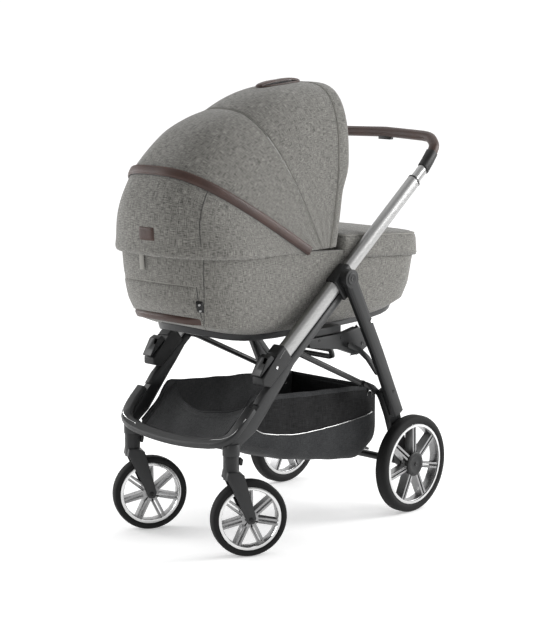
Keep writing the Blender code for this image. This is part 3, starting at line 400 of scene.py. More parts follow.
def feed(tree, kind, feeds, out=0, **settings):
    # a node whose inputs are fed by sockets or set to plain values; one of its outputs comes back
    made = addNode(tree, kind, **settings)
    for key, value in feeds.items():
        if isinstance(value, bpy.types.NodeSocket):
            tree.links.new(value, made.inputs[key])
        else:
            made.inputs[key].default_value = value
    return made.outputs[out]


def maths(tree, operation, *values):
    return feed(tree, "ShaderNodeMath", dict(enumerate(values)), operation=operation)


def mixOf(tree, factor, a, b, kind="FLOAT"):
    return feed(tree, "ShaderNodeMix", {"Factor": factor, "A": a, "B": b}, "Result", data_type=kind)


def ranged(tree, value, low, high, lowest=0.0, highest=1.0, **settings):
    feeds = {"Value": value, "From Min": low, "From Max": high, "To Min": lowest, "To Max": highest}
    return feed(tree, "ShaderNodeMapRange", feeds, **settings)


def noiseOf(tree, vector, scale, detail, roughness):
    return feed(tree, "ShaderNodeTexNoise",
                {"Vector": vector, "Scale": scale, "Detail": detail, "Roughness": roughness}, "Fac")


def weaveGroup():
    # melange linen: two sets of streaked threads that pass over and under each other
    tree, taken, given = newGroup(
        "linenWeave",
        [("Vector", "Vector", None), ("Threads", "Float", 420.0), ("Light", "Color", (0.3, 0.3, 0.28, 1)),
         ("Dark", "Color", (0.08, 0.08, 0.075, 1)), ("Slubs", "Float", 0.5)],
        [("Color", "Color"), ("Height", "Float"), ("Roughness", "Float")])
    sent = taken.outputs
    scaled = feed(tree, "ShaderNodeVectorMath", {0: sent["Vector"], "Scale": sent["Threads"]},
                  operation="SCALE")
    streaks = []
    for squeeze in ((1.0, 0.07, 0.4), (0.07, 1.0, 0.4)):
        run = feed(tree, "ShaderNodeVectorMath", {0: scaled, 1: squeeze}, operation="MULTIPLY")
        streaks.append(noiseOf(tree, run, 1.0, 2.0, 0.65))
    wide = feed(tree, "ShaderNodeVectorMath", {0: scaled, "Scale": 0.21}, operation="SCALE")
    cloud = noiseOf(tree, wide, 1.0, 3.0, 0.6)
    waves = []
    for axis in ("X", "Y"):
        part = feed(tree, "ShaderNodeSeparateXYZ", {0: scaled}, axis)
        waves.append(maths(tree, "SINE", maths(tree, "MULTIPLY", part, math.pi)))
    over = maths(tree, "MULTIPLY", *waves)
    thread = mixOf(tree, ranged(tree, over, -0.5, 0.5), *streaks)
    plain = mixOf(tree, 0.55, maths(tree, "MULTIPLY", maths(tree, "ADD", *streaks), 0.5), thread)
    shade = ranged(tree, mixOf(tree, 0.07, plain, cloud), 0.40, 0.60)
    link = tree.links.new
    link(mixOf(tree, shade, sent["Dark"], sent["Light"], "RGBA"), given.inputs["Color"])
    link(maths(tree, "MULTIPLY_ADD", shade, sent["Slubs"], over), given.inputs["Height"])
    link(ranged(tree, shade, 0.0, 1.0, 0.92, 0.78), given.inputs["Roughness"])
    return tree


def grainGroup():
    # moulded or brushed surface: fine grain, with paler worn patches
    tree, taken, given = newGroup(
        "surfaceGrain",
        [("Vector", "Vector", None), ("Scale", "Float", 900.0), ("Base", "Color", (0.05, 0.05, 0.05, 1)),
         ("Worn", "Color", (0.08, 0.08, 0.08, 1)), ("Smooth", "Float", 0.35), ("Rough", "Float", 0.55)],
        [("Color", "Color"), ("Roughness", "Float"), ("Height", "Float")])
    sent = taken.outputs
    fine = noiseOf(tree, sent["Vector"], sent["Scale"], 3.0, 0.6)
    patch = ranged(tree, noiseOf(tree, sent["Vector"], 14.0, 5.0, 0.65), 0.4, 0.72)
    blend = maths(tree, "MULTIPLY_ADD", fine, 0.5, maths(tree, "MULTIPLY", patch, 0.5))
    link = tree.links.new
    link(mixOf(tree, patch, sent["Base"], sent["Worn"], "RGBA"), given.inputs["Color"])
    link(mixOf(tree, blend, sent["Smooth"], sent["Rough"]), given.inputs["Roughness"])
    link(fine, given.inputs["Height"])
    return tree


weave = weaveGroup()
grain = grainGroup()


def groupMaterial(name, group, values, source="Object", stretch=None, turn=(0, 0, 0)):
    # a material that takes its colour and roughness from one of the groups
    material = bpy.data.materials.new(name)
    material.use_nodes = True
    tree = material.node_tree
    shader = tree.nodes["Principled BSDF"]
    place = addNode(tree, "ShaderNodeTexCoord").outputs[source]
    if stretch:
        place = feed(tree, "ShaderNodeMapping", {"Vector": place, "Scale": stretch, "Rotation": turn})
    made = addNode(tree, "ShaderNodeGroup")
    made.node_tree = group
    for key, value in values.items():
        made.inputs[key].default_value = value
    tree.links.new(place, made.inputs["Vector"])
    tree.links.new(made.outputs["Color"], shader.inputs["Base Color"])
    tree.links.new(made.outputs["Roughness"], shader.inputs["Roughness"])
    return material, tree, shader, made.outputs["Height"], place


def addBump(tree, shader, height, strength, distance):
    bump = feed(tree, "ShaderNodeBump", {"Height": height, "Strength": strength, "Distance": distance})
    tree.links.new(bump, shader.inputs["Normal"])


def clothMaterial(name, light, dark, threads, source="UV", slubs=0.5, strength=0.35, sheen=0.25):
    values = {"Threads": threads, "Light": (*light, 1), "Dark": (*dark, 1), "Slubs": slubs}
    material, tree, shader, height, _ = groupMaterial(name, weave, values, source)
    addBump(tree, shader, height, strength, 0.0006)
    shader.inputs["Sheen Weight"].default_value = sheen
    shader.inputs["Sheen Roughness"].default_value = 0.5
    shader.inputs["Specular IOR Level"].default_value = 0.25
    return material


def grainMaterial(name, base, worn, smooth, rough, scale=900.0, metallic=0.0, strength=0.12, distance=0.0003,
                  stretch=None, turn=(0, 0, 0), specular=0.5):
    values = {"Scale": scale, "Base": (*base, 1), "Worn": (*worn, 1), "Smooth": smooth, "Rough": rough}
    material, tree, shader, height, _ = groupMaterial(name, grain, values, "Object", stretch, turn)
    addBump(tree, shader, height, strength, distance)
    shader.inputs["Metallic"].default_value = metallic
    shader.inputs["Specular IOR Level"].default_value = specular
    return material


def leatherMaterial(name, base, worn):
    values = {"Scale": 120.0, "Base": (*base, 1), "Worn": (*worn, 1), "Smooth": 0.34, "Rough": 0.52}
    material, tree, shader, _, place = groupMaterial(name, grain, values)
    cells = feed(tree, "ShaderNodeTexVoronoi", {"Vector": place, "Scale": 620.0}, "Distance",
                 feature="DISTANCE_TO_EDGE")
    addBump(tree, shader, ranged(tree, cells, 0.0, 0.18), 0.35, 0.0003)
    shader.inputs["Specular IOR Level"].default_value = 0.45
    return material


tubeTurn = (math.radians(37.8), 0, 0)
greyCloth = clothMaterial("greyCloth", (0.288, 0.281, 0.258), (0.055, 0.053, 0.048), 820)
basketCloth = clothMaterial("basketCloth", (0.034, 0.035, 0.037), (0.015, 0.016, 0.017), 800, "UV", 0.2, 0.25,
                            0.06)
apronCanvas = clothMaterial("apronCanvas", (0.062, 0.063, 0.065), (0.028, 0.029, 0.030), 800, "UV", 0.2, 0.3,
                            0.08)
basketMesh = clothMaterial("basketMesh", (0.012, 0.012, 0.013), (0.002, 0.002, 0.002), 420, "UV", 0.2, 0.7,
                           0.02)
liningCloth = clothMaterial("liningCloth", (0.56, 0.55, 0.53), (0.44, 0.43, 0.41), 1000, "Object", 0.2, 0.15,
                            0.3)
mattressCloth = clothMaterial("mattressCloth", (0.80, 0.79, 0.76), (0.70, 0.69, 0.66), 800, "Object", 0.2,
                              0.2, 0.3)
brownLeather = leatherMaterial("brownLeather", (0.038, 0.0165, 0.0115), (0.060, 0.027, 0.019))
brownThread = grainMaterial("brownThread", (0.12, 0.062, 0.045), (0.15, 0.08, 0.06), 0.6, 0.8)
greyThread = grainMaterial("greyThread", (0.24, 0.235, 0.215), (0.34, 0.33, 0.30), 0.7, 0.9)
blackThread = grainMaterial("blackThread", (0.02, 0.02, 0.02), (0.035, 0.035, 0.035), 0.6, 0.8)
silverTube = grainMaterial("silverTube", (0.31, 0.31, 0.307), (0.37, 0.37, 0.367), 0.28, 0.40, 60, 1.0, 0.04,
                           0.0002, (30, 1, 30), tubeTurn)
brightTube = grainMaterial("brightTube", (0.35, 0.35, 0.347), (0.41, 0.41, 0.407), 0.16, 0.26, 60, 1.0, 0.03,
                           0.0002, (30, 1, 30), tubeTurn)
chromeLine = grainMaterial("chromeLine", (0.62, 0.62, 0.62), (0.70, 0.70, 0.70), 0.10, 0.20, 300, 1.0, 0.02)
rimSilver = grainMaterial("rimSilver", (0.25, 0.25, 0.252), (0.34, 0.34, 0.342), 0.22, 0.36, 500, 0.85, 0.05)
darkPlastic = grainMaterial("darkPlastic", (0.0088, 0.0091, 0.0096), (0.0145, 0.0148, 0.0153), 0.40, 0.55,
                            1500, 0, 0.25, specular=0.35)
charcoalPlastic = grainMaterial("charcoalPlastic", (0.0150, 0.0155, 0.0162), (0.023, 0.0235, 0.0244), 0.38,
                                0.52, 1300, 0, 0.22, specular=0.4)
blackPlastic = grainMaterial("blackPlastic", (0.006, 0.006, 0.006), (0.012, 0.012, 0.012), 0.42, 0.58, 1400,
                             0, 0.2, specular=0.35)
blackPaint = grainMaterial("blackPaint", (0.008, 0.008, 0.0085), (0.016, 0.016, 0.016), 0.28, 0.42, 700, 0,
                           0.1, specular=0.4)
tyreRubber = grainMaterial("tyreRubber", (0.0055, 0.0055, 0.0058), (0.011, 0.011, 0.011), 0.62, 0.82, 800, 0,
                           0.3, specular=0.25)
print("finishes made")


# frame tubes and mouldings

tubes = {"angle": math.radians(37.8), "low": (0.0225, 0.0165), "high": (0.0205, 0.0155),
         "lowFrom": -0.2973, "lowTo": -0.0403, "highFrom": 0.0363, "highTo": 0.4113, "out": 0.2165}
knuckleAt = jointAt["rear_leg_fold"]
alongTube = Vector((0, math.cos(tubes["angle"]), math.sin(tubes["angle"])))
acrossTube = Vector((0, -math.sin(tubes["angle"]), math.cos(tubes["angle"])))


def tubePoint(s, p=0.0, x=0.0):
    return knuckleAt + alongTube * s + acrossTube * p + Vector((x, 0, 0))


def ovalBar(name, stations, power, count=48):
    # stations are (centre, up, side, halfUp, halfSide); each becomes one ring of a closed bar
    points = []
    for centre, up, side, halfUp, halfSide in stations:
        for k in range(count):
            rise, aside = roundPoint(2 * math.pi * k / count, halfUp, halfSide, 2 / power)
            points.append(centre + up * rise + side * aside)
    faces = gridFaces(len(stations), count, True)
    faces += [tuple(range(count))[::-1], tuple(range(len(points) - count, len(points)))]
    return tidyMesh(meshPiece(name, points, faces), 40)


def mainTube(name, start, end, half, x, power, edge=0.0008):
    rings = []
    for s, shrink in ((start, edge), (start + edge, 0), (end - edge, 0), (end, edge)):
        rings.append((tubePoint(s, 0, x), acrossTube, Vector((1, 0, 0)), half[0] - shrink, half[1] - shrink))
    return ovalBar(name, rings, power)


# what stands on both sides: its finish, and the width and steps of its softened edges
mouldings = (("knuckle", darkPlastic, 0.0022, 3), ("fold_housing", darkPlastic, 0.0022, 3),
             ("fold_lever", darkPlastic, 0.0018, 3), ("front_leg", charcoalPlastic, 0.0010, 2),
             ("seat_mount", charcoalPlastic, 0.0016, 3), ("rear_leg", darkPlastic, 0.0030, 3),
             ("rear_hub", darkPlastic, 0.0016, 2), ("brace_tube", blackPaint, 0.0006, 2),
             ("brace_link", blackPaint, 0.0010, 2), ("seat_stay", charcoalPlastic, 0.0010, 2),
             ("caster_fork", charcoalPlastic, 0.0020, 3), ("swivel_lock", darkPlastic, 0.0010, 2),
             ("handle_elbow", blackPlastic, 0.0010, 2), ("front_rim", rimSilver, 0.0009, 2),
             ("front_tyre", tyreRubber, 0.0012, 2), ("rear_rim", rimSilver, 0.0009, 2),
             ("rear_tyre", tyreRubber, 0.0012, 2))

for side, sign in sides:
    x = sign * tubes["out"]
    low = mainTube(f"leg_tube_{side}Skin", tubes["lowFrom"], tubes["lowTo"], tubes["low"], x, 3.0)
    dress(low, silverTube, "chassis", [f"leg_tube_{side}"])
    high = mainTube(f"upper_tube_{side}Skin", tubes["highFrom"], tubes["highTo"] - 0.004, tubes["high"], x,
                    2.6)
    dress(high, silverTube, "chassis", [f"upper_tube_{side}"])
    seal = mainTube(f"tube_seal_{side}", tubes["highTo"] - 0.004, tubes["highTo"] + 0.0012,
                    (tubes["high"][0] + 0.0006, tubes["high"][1] + 0.0006), x, 2.6, 0.0009)
    dress(seal, blackPlastic, "chassis")
    dress(refined(f"handle_tube_{side}", 0.0004, 1), brightTube, "handle",
          [f"handle_tube_{side}"])
    for node, look, width, segments in mouldings:
        refine(f"{node}_{side}", look, width=width, segments=segments)
for node, look, width in (("footrest_bow", charcoalPlastic, 0.0012), ("cross_bar", blackPaint, 0.0008),
                          ("fold_grip", blackPlastic, 0.0016), ("rear_axle", blackPaint, 0.0006),
                          ("brake_pedal", darkPlastic, 0.0012), ("handle_grip", brownLeather, 0),
                          ("height_button", blackPlastic, 0.0008)):
    refine(node, look, width=width)
print("frame dressed")


# shapes that the carrycot and the hood share

cot = {"half": 0.193, "head": -0.822, "foot": 0.138, "headCap": (0.190, 2.5), "footCap": (0.120, 3.3),
       "bottom": 0.590, "rim": 0.772, "rise": 0.07, "floor": 0.642, "wall": 0.010,
       "shape": ((0.0, 0.105, 0.055, 0.040), (0.10, 0.050, 0.030, 0.022), (0.35, 0.025, 0.018, 0.012),
                 (0.70, 0.008, 0.012, 0.004), (1.0, 0.0, 0.0, 0.0))}
hood = {"back": -0.309, "height": 0.765, "half": 0.197, "reach": 0.518,
        "profile": ((149.5, 0.564, 3.3), (133.0, 0.538, 3.0), (116.8, 0.494, 2.8), (90.0, 0.500, 2.8),
                    (78.0, 0.514, 2.8)),
        "trim": 149.5, "mid": 116.8, "top": 90.0, "rim": 78.0}


def at(x, y, z):
    # y is measured from the rear axle
    return Vector((x, y + rearY, z))


def ease(t):
    t = min(1.0, max(0.0, t))
    return t * t * (3 - 2 * t)


def rimHeight(y):
    return cot["rim"] + cot["rise"] * max(0.0, cot["foot"] - y)


def footCurve(half, middle, reach, power):
    return [(half * math.sin(a) ** (2 / power), middle + reach * abs(math.cos(a)) ** (2 / power), 0)
            for a in spread(0, math.pi / 2, 32)]


def headCurve(half, start, reach, power, count):
    return [(half * abs(math.cos(a)) ** (2 / power), start + reach - reach * math.sin(a) ** (2 / power), 0)
            for a in spread(0, math.pi / 2, count)]


def bothSides(side):
    return side + [(-x, y, z) for x, y, z in reversed(side[:-1])]


def planLine(half, start, end, inset, count):
    # points round the carrycot, from the middle of the foot end round the head end
    footReach = cot["footCap"][0] - inset
    side = footCurve(half, end - footReach, footReach, cot["footCap"][1])
    side += headCurve(half, start, cot["headCap"][0] - inset, cot["headCap"][1], 32)
    return evenLine(bothSides(side)[:-1], count, closed=True)


def cotRing(level, out=0.0, count=160, drop=0.0, height=None):
    for low, high in zip(cot["shape"], cot["shape"][1:]):
        if low[0] <= level <= high[0]:
            t = (level - low[0]) / (high[0] - low[0])
            head, foot, slim = (low[k] * (1 - t) + high[k] * t for k in (1, 2, 3))
    start, end = cot["head"] + head - out, cot["foot"] - foot + out
    middle, reach = (start + end) / 2, (end - start) / 2
    ring = []
    for x, y, _ in planLine(cot["half"] - slim + out, start, end, -out, count):
        bottom = cot["bottom"] + 0.035 * ((y - middle) / reach) ** 4
        z = bottom + (rimHeight(y) - bottom) * level - drop if height is None else height
        ring.append(at(x, y, z))
    return ring


hoodHinge = at(0, hood["back"], hood["height"])


def hoodShape(angle):
    for (a, *high), (b, *low) in zip(hood["profile"], hood["profile"][1:]):
        if a >= angle >= b:
            t = (a - angle) / (a - b)
            return [p * (1 - t) + q * t for p, q in zip(high, low)]
    return hood["profile"][-1][1:] if angle < hood["rim"] else hood["profile"][0][1:]


def footOf(angle):
    return (rimHeight(hood["back"] - 0.04) + 0.0066 - hood["height"]) / math.sin(math.radians(angle))


def hoodArch(angle, out=0.0, start=None, count=72, aside=0.0, shift=0.0):
    height, power = hoodShape(angle)
    half, top, turn = hood["half"] + out, height + out, math.radians(angle)
    start = footOf(angle) if start is None else start
    first = math.asin(min(1.0, max(0.0, start / top)) ** (power / 2))
    line = []
    for k in range(count + 1):
        t = first + (math.pi - 2 * first) * k / count
        c, s = math.cos(t), max(0.0, math.sin(t))
        reach = top * s ** (2 / power)
        line.append(at(half * math.copysign(abs(c) ** (2 / power), c),
                       hood["back"] + reach * math.cos(turn) - aside * math.sin(turn) + shift,
                       hood["height"] + reach * math.sin(turn) + aside * math.cos(turn)))
    return evenLine(line, count)


def onGrid(rows, u, v, out=0.0, closed=False):
    # a point on a grid of rows, lifted along its normal, and that normal
    def sample(a, b):
        b = min(1.0, max(0.0, b)) * (len(rows) - 1)
        r = min(int(b), len(rows) - 2)
        count = len(rows[0])
        a = a % 1.0 * count if closed else min(1.0, max(0.0, a)) * (count - 1)
        c = int(a) if closed else min(int(a), count - 2)
        n = (c + 1) % count
        low = rows[r][c].lerp(rows[r][n], a - c)
        high = rows[r + 1][c].lerp(rows[r + 1][n], a - c)
        return low.lerp(high, b - r)
    here = sample(u, v)
    step = 0.004
    alongU = sample(u + step, v) - sample(u - step, v)
    alongV = sample(u, v + step) - sample(u, v - step)
    normal = alongU.cross(alongV).normalized()
    outwards = here - at(0, -0.34, 0.78)
    if normal.dot(outwards) < 0:
        normal = -normal
    return here + normal * out, normal


def patchOn(rows, uSpan, vSpan, out, closed=False, across=14, down=8, edge=0.06, sink=0.0015, puff=0.0):
    # a grid that lies on another one, its edge turned down onto it
    grid = []
    for r in range(down + 1):
        line = []
        for c in range(across + 1):
            s, t = c / across, r / down
            rise = min(1.0, min(s, 1 - s) / edge, min(t, 1 - t) / edge)
            lift = -sink + (out + sink) * ease(rise) + puff * math.sin(math.pi * s) * math.sin(math.pi * t)
            line.append(onGrid(rows, uSpan[0] + (uSpan[1] - uSpan[0]) * s,
                               vSpan[0] + (vSpan[1] - vSpan[0]) * t, lift, closed)[0])
        grid.append(line)
    return grid


def lineOn(rows, places, out=0.0, closed=False, per=8):
    # a line over a grid through (u, v) places, with its normals
    path = smoothLine([(u, v, 0) for u, v in places], per)
    found = [onGrid(rows, p.x, p.y, out, closed) for p in path]
    return [p for p, _ in found], [n for _, n in found]


def declare(obj, rows, closed=False):
    widths = [lineLength(row + row[:1] if closed else row) for row in rows]
    heights = [sum((b[k] - a[k]).length for a, b in zip(rows, rows[1:])) for k in range(0, len(rows[0]), 4)]
    flat = (max(widths), max(heights))
    min(flatArea(rows, closed), flat[0] * flat[1])
    return obj


def clothPiece(name, rows, thickness, material, body, replaced=(), closed=False,
               levels=1, inside=-1):
    obj = sheetPiece(name, rows, thickness, closed, levels, inside)
    return declare(dress(obj, material, body, replaced), rows, closed)


def shellPiece(name, rings):
    # closed rings joined into one closed body, with a UV map in metres
    count = len(rings[0])
    points = [p for ring in rings for p in ring]
    faces = gridFaces(len(rings), count, True)
    uvs = gridMap(rings, max(rings, key=lineLength), True)
    for number, face in enumerate(faces):
        a, b, c, d = (points[corner] for corner in face)
        if abs((c - a).cross(d - b).normalized().z) > 0.8:  # a flat top is cut from one piece of cloth
            uvs[number] = [(p.x, p.y) for p in (a, b, c, d)]
    for ring, order in ((0, range(count)), (len(rings) - 1, range(count - 1, -1, -1))):
        faces.append(tuple(ring * count + k for k in order))
        uvs.append([(rings[ring][k].x, rings[ring][k].y) for k in order])
    obj = meshPiece(name, points, faces, uvs)
    tidyMesh(obj, 180, 1e-6)
    bpy.ops.object.shade_smooth()
    return obj


# carrycot tub

tubSizes = {"puff": 0.0030, "levels": [0.0, 0.01, 0.025, 0.045, 0.07, 0.10, 0.14, 0.19, 0.25, 0.32]}
tubSizes["levels"] += [0.38 + 0.06 * k for k in range(10)] + [0.96, 0.985, 1.0]
tubRows = [cotRing(level, 0.0012 + tubSizes["puff"] * math.sin(math.pi * min(1, level * 1.05)) ** 0.7)
           for level in tubSizes["levels"]]
tubRings = [cotRing(0.0, -0.010, drop=-0.004)] + tubRows
for out, drop in ((-0.0006, -0.0024), (-0.005, -0.0034), (-0.0092, -0.001)):  # over the rim
    tubRings.append(cotRing(1.0, out, drop=drop))
tubRings += [cotRing(level, -cot["wall"]) for level in (0.85, 0.6, 0.45)]
tubRings.append(cotRing(0.05, -cot["wall"], height=cot["floor"]))
tubShell = shellPiece("tubShell", tubRings)
dress(tubShell, greyCloth, "carrycot", ["tub"])

liningRows = [cotRing(1.0, -0.0095, drop=0.004)]
for level, out in ((0.8, -0.0118), (0.6, -0.0122), (0.45, -0.0122), (0.25, -0.0150)):
    liningRows.append(cotRing(level, out))
liningRows.append(cotRing(0.05, -0.0118, height=cot["floor"] + 0.002))
clothPiece("cotLining", liningRows, 0.0010, liningCloth, "carrycot", closed=True,
           levels=0)

refine("tub_base", charcoalPlastic, width=0.0030, segments=3)


def seamOn(name, rows, places, radius, closed=False, aside=0.0045):
    # a dark corded seam with a row of stitches along each side
    line, ups = lineOn(rows, places, -radius * 0.25, closed)
    cordPiece(name, line, radius, blackThread, "carrycot")
    for number, way in enumerate((aside, -aside)):
        row = [p + (b - a).normalized().cross(n) * way
               for p, n, a, b in zip(line, ups, [line[0]] + line[:-1], line[1:] + [line[-1]])]
        dress(stitches(f"{name}Thread{number}", row, ups, lift=radius * 0.4), greyThread, "carrycot")


print("carrycot made")


# hood

canopy = {"skin": 0.0012, "thick": 0.0030}


def canopyRow(angle, **more):
    # cloth between the bows gives a little; a few soft folds run up from the hinge
    line = hoodArch(angle, canopy["skin"], **more)
    span = [a for a, _, _ in hood["profile"] if a in (hood["trim"], hood["mid"], hood["rim"])]
    near = min(abs(angle - a) for a in span)
    count = len(line) - 1
    for k, p in enumerate(line):
        share = min(k, count - k) / count
        inwards = (at(0, hood["back"], p.z) - p)
        inwards.z = 0
        sag = 0.0022 * ease(near / 9) * math.sin(math.pi * min(1, share * 2.2))
        folds = 0.0006 * math.exp(-((share - 0.055) / 0.05) ** 2) * math.sin(angle * 0.55 + 2.0 * share)
        line[k] = p + inwards.normalized() * (sag + folds * ease(near / 5)) - Vector((0, 0, sag * 0.6))
    return line


def hoodCloth(name, rows, body, node):
    return clothPiece(name, rows, canopy["thick"], greyCloth, body,
                      [node], inside=1)


frontRows = [canopyRow(a) for a in spread(hood["trim"] - 0.2, hood["mid"], 20)]
frontPanel = hoodCloth("hoodFrontCloth", frontRows, None, "hood_front_panel")


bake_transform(frontPanel)

rearRows = [canopyRow(a) for a in spread(hood["mid"] - 0.05, hood["rim"], 22)]
lipSteps = ((0.004, 0.0012), (0.008, 0.0004), (0.014, 0.0013), (0.028, 0.0016), (0.041, 0.0008),
            (0.048, -0.0012), (0.0515, -0.0046), (0.0505, -0.0085), (0.045, -0.0105), (0.030, -0.0115))
for shift, out in lipSteps:  # the rolled lip is deep over the top and narrows below
    near, far = (hoodArch(hood["rim"], out, shift=much, start=footOf(hood["rim"])) for much in (0.0, shift))
    rearRows.append([a.lerp(b, 0.58 + 0.42 * ease((a.z - 0.955) / 0.085)) for a, b in zip(near, far)])
rearPanel = hoodCloth("hoodRearCloth", rearRows, None, "hood_rear_panel")
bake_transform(rearPanel)


def backLine(out, rise):
    # the lower edge of the back panel, round the head end
    start, half = hood["back"] - hood["reach"], hood["half"]
    reach, power = cot["headCap"]
    meet = hoodArch(hood["trim"], 0.0, aside=0.0066)[0].y - rearY
    line = evenLine(bothSides([(half, meet, 0)] + headCurve(half, start, reach, power, 48)), 72)
    result = []
    for k, p in enumerate(line):
        before, after = line[max(0, k - 1)], line[min(72, k + 1)]
        square = Vector((after.y - before.y, before.x - after.x, 0)).normalized()
        if square.dot(p - Vector((0, -0.5, 0))) < 0:
            square = -square
        share = ease(min(k, 72 - k) / 72 * 4.2)
        result.append(at(*(p + square * out * share)) + Vector((0, 0, rimHeight(p.y) + rise * share)))
    return result


backTop = hoodArch(hood["trim"], 0.0002, aside=0.002)
backRows = [backLine(out, rise) for out, rise in
            ((-0.003, -0.006), (0.004, -0.012), (0.0105, -0.010), (0.0135, -0.002), (0.0135, 0.008))]
backLow = backLine(0.0110, 0.022)
for step in range(13):
    level = step / 12
    row = []
    for k, (a, b) in enumerate(zip(backLow, backTop)):
        swell = math.sin(math.pi * level) * math.sin(math.pi * k / 72)
        row.append(a.lerp(b, level) + Vector((0, -0.020, 0.004)) * swell)
    backRows.append(row)
hoodCloth("hoodBackCloth", backRows, "carrycot", "hood_back_panel")

# brown band round the hood's fixed edge, with a darker cord below it; the thin black cord under the band is
# painted shade
band = {"half": 0.0118, "thick": 0.0042, "aside": -0.0035}
trimTurn = math.radians(hood["trim"])


def trimArch(out, aside, drop=0.004):
    return hoodArch(hood["trim"], out, aside=aside + band["aside"], start=footOf(hood["trim"]) - drop,
                    count=96)


bandLine = trimArch(0.0020, 0)
bandUps = [(b - a).cross(Vector((0, math.sin(trimTurn), -math.cos(trimTurn))))
           for a, b in zip([bandLine[0]] + bandLine[:-1], bandLine[1:] + [bandLine[-1]])]
bandUps = [(up if up.dot(p - hoodHinge) > 0 else -up).normalized() for up, p in zip(bandUps, bandLine)]
dress(ribbon("hoodTrimBand", bandLine, bandUps, band["half"], band["thick"], 0.35), brownLeather, "carrycot",
      ["hood_trim_bow"])
# the black edge cord below the brown one is painted shade beneath the band
for name, aside, radius, look in (("hoodTrimCord", 0.0115, 0.0030, brownLeather),
                                  ("hoodTrimEdge", 0.0135, 0.0016, blackThread)):
    cordPiece(name, trimArch(0.0018, aside, 0.003), radius, look, "carrycot", 10)
threadLine = [p + up * (band["thick"] * 1.02)
              for p, up in zip(trimArch(0.0020, -band["half"] * 0.78), bandUps)]
sewPiece("hoodTrimThread", threadLine, bandUps, "leather", brownThread, "carrycot")

for name, angle, ride, out in (("hoodMidSeam", hood["mid"], "hood_mid", 0.0014),
                               ("hoodRimSeam", hood["rim"] - 0.45, "hood_rim", 0.0024)):
    seam = hoodArch(angle, out)
    cordPiece(name, seam, 0.0012, greyThread, ride)
    ups = [(p - hoodHinge).normalized() for p in seam]
    for number, aside in enumerate((-0.005, 0.005)):
        row = hoodArch(angle, out - 0.0002, aside=aside)
        sewPiece(f"{name}Thread{number}", row, ups, "hood", greyThread, ride)
    # thin black cord beside each seam: painted shade in the fold of the cloth along the seam
    cordPiece(f"{name}Fold", hoodArch(angle, out - 0.0004, aside=-0.0021), 0.0009, blackThread, ride)
for name in ("hood_mid_bow", "hood_top_bow", "hood_rim_bow"):
    refine(name, blackPlastic, width=0)

# carry handle in its slot
slotHole = {"long": 0.078, "wide": 0.024, "cord": 0.0032}
slotMiddle = hood["top"] - 0.5


def onHood(along, across, out):
    # a point on the hood's top: along runs from head to foot, across to the left side
    angle = slotMiddle - math.degrees(along / hoodShape(slotMiddle)[0])
    height, power = hoodShape(angle)
    turn = math.radians(angle)
    c = across / hood["half"]
    reach = (height + canopy["skin"] + out) * (1 - abs(c) ** power) ** (1 / power)
    return at(across, hood["back"] + reach * math.cos(turn), hood["height"] + reach * math.sin(turn))


rimLine = [roundPoint(2 * math.pi * k / 64, slotHole["long"], slotHole["wide"], 0.72) for k in range(64)]
cordPiece("handleSlotFrame", [onHood(a, b, 0.0012) for a, b in rimLine], slotHole["cord"], brownLeather,
          "hood_rim", 12, closed=True)
wellSteps = ((1.0, 0.0004), (0.9, 0.0010), (0.6, 0.0012), (0.3, 0.0012), (0.05, 0.0012))
wellRings = [[onHood(a * share, b * share, out) for a, b in rimLine] for share, out in wellSteps]
well = dress(sheetPiece("handleSlotWell", wellRings, 0.0008, closed=True, levels=0), blackThread, "hood_rim")
wellFlat = (slotHole["long"] * 2.02, slotHole["wide"] * 2.02)
min(flatArea(wellRings, True), wellFlat[0] * wellFlat[1])
strapLine = [onHood(0.076 * math.cos(turn), 0, 0.0015 + 0.0062 * abs(math.sin(turn)) ** 0.8)
             for turn in spread(0, math.pi, 28)]
strapUps = [(p - hoodHinge).normalized() for p in strapLine]
dress(ribbon("carryHandleStrap", strapLine, strapUps, 0.0125, 0.0040, 0.5), brownLeather, "hood_rim",
      ["carry_handle"])
for number, aside in enumerate((-0.0100, 0.0100)):
    row = [p + Vector((aside, 0, 0)) + up * 0.0042 for p, up in zip(strapLine, strapUps)]
    sewPiece(f"carryHandleThread{number}", row, strapUps, "leather", brownThread, "hood_rim")
print("hood made")

# pocket, tag and seams on the head end

pocket = {"across": (0.438, 0.562), "flap": (0.630, 0.318), "band": (0.330, 0.228),
          "tag": ((0.457, 0.507), (0.458, 0.325)),
          "backSeam": [(0.345, v) for v in (0.30, 0.45, 0.62, 0.80, 0.985)],
          "tubSeam": ((0.428, 0.97), (0.429, 0.75), (0.431, 0.52), (0.438, 0.25), (0.450, 0.02))}
flapRows = patchOn(tubRows, pocket["across"], pocket["flap"], 0.0042, True, 36, 16, 0.05, 0.001, 0.0055)
clothPiece("pocketFlap", flapRows, 0.0016, greyCloth, "carrycot")
bandAcross = (pocket["across"][0] - 0.0008, pocket["across"][1] + 0.0008)
bandRows = patchOn(tubRows, bandAcross, pocket["band"], 0.0078, True, 36, 8, 0.16, 0.001, 0.0030)
clothPiece("pocketBand", bandRows, 0.0014, brownLeather, "carrycot")
flapTop, flapLow = pocket["flap"]
for number, level in enumerate((0.612, 0.340)):
    grid = [onGrid(flapRows, u, (flapTop - level) / (flapTop - flapLow), 0.0011)
            for u in spread(0.02, 0.98, 40)]
    sewPiece(f"pocketThread{number}", [p for p, _ in grid], [n for _, n in grid], "pocket", greyThread,
             "carrycot")
piping = [onGrid(flapRows, k / 40, 0.0, 0.0006)[0] for k in range(41)]
cordPiece("pocketPiping", piping, 0.0015, greyThread, "carrycot")
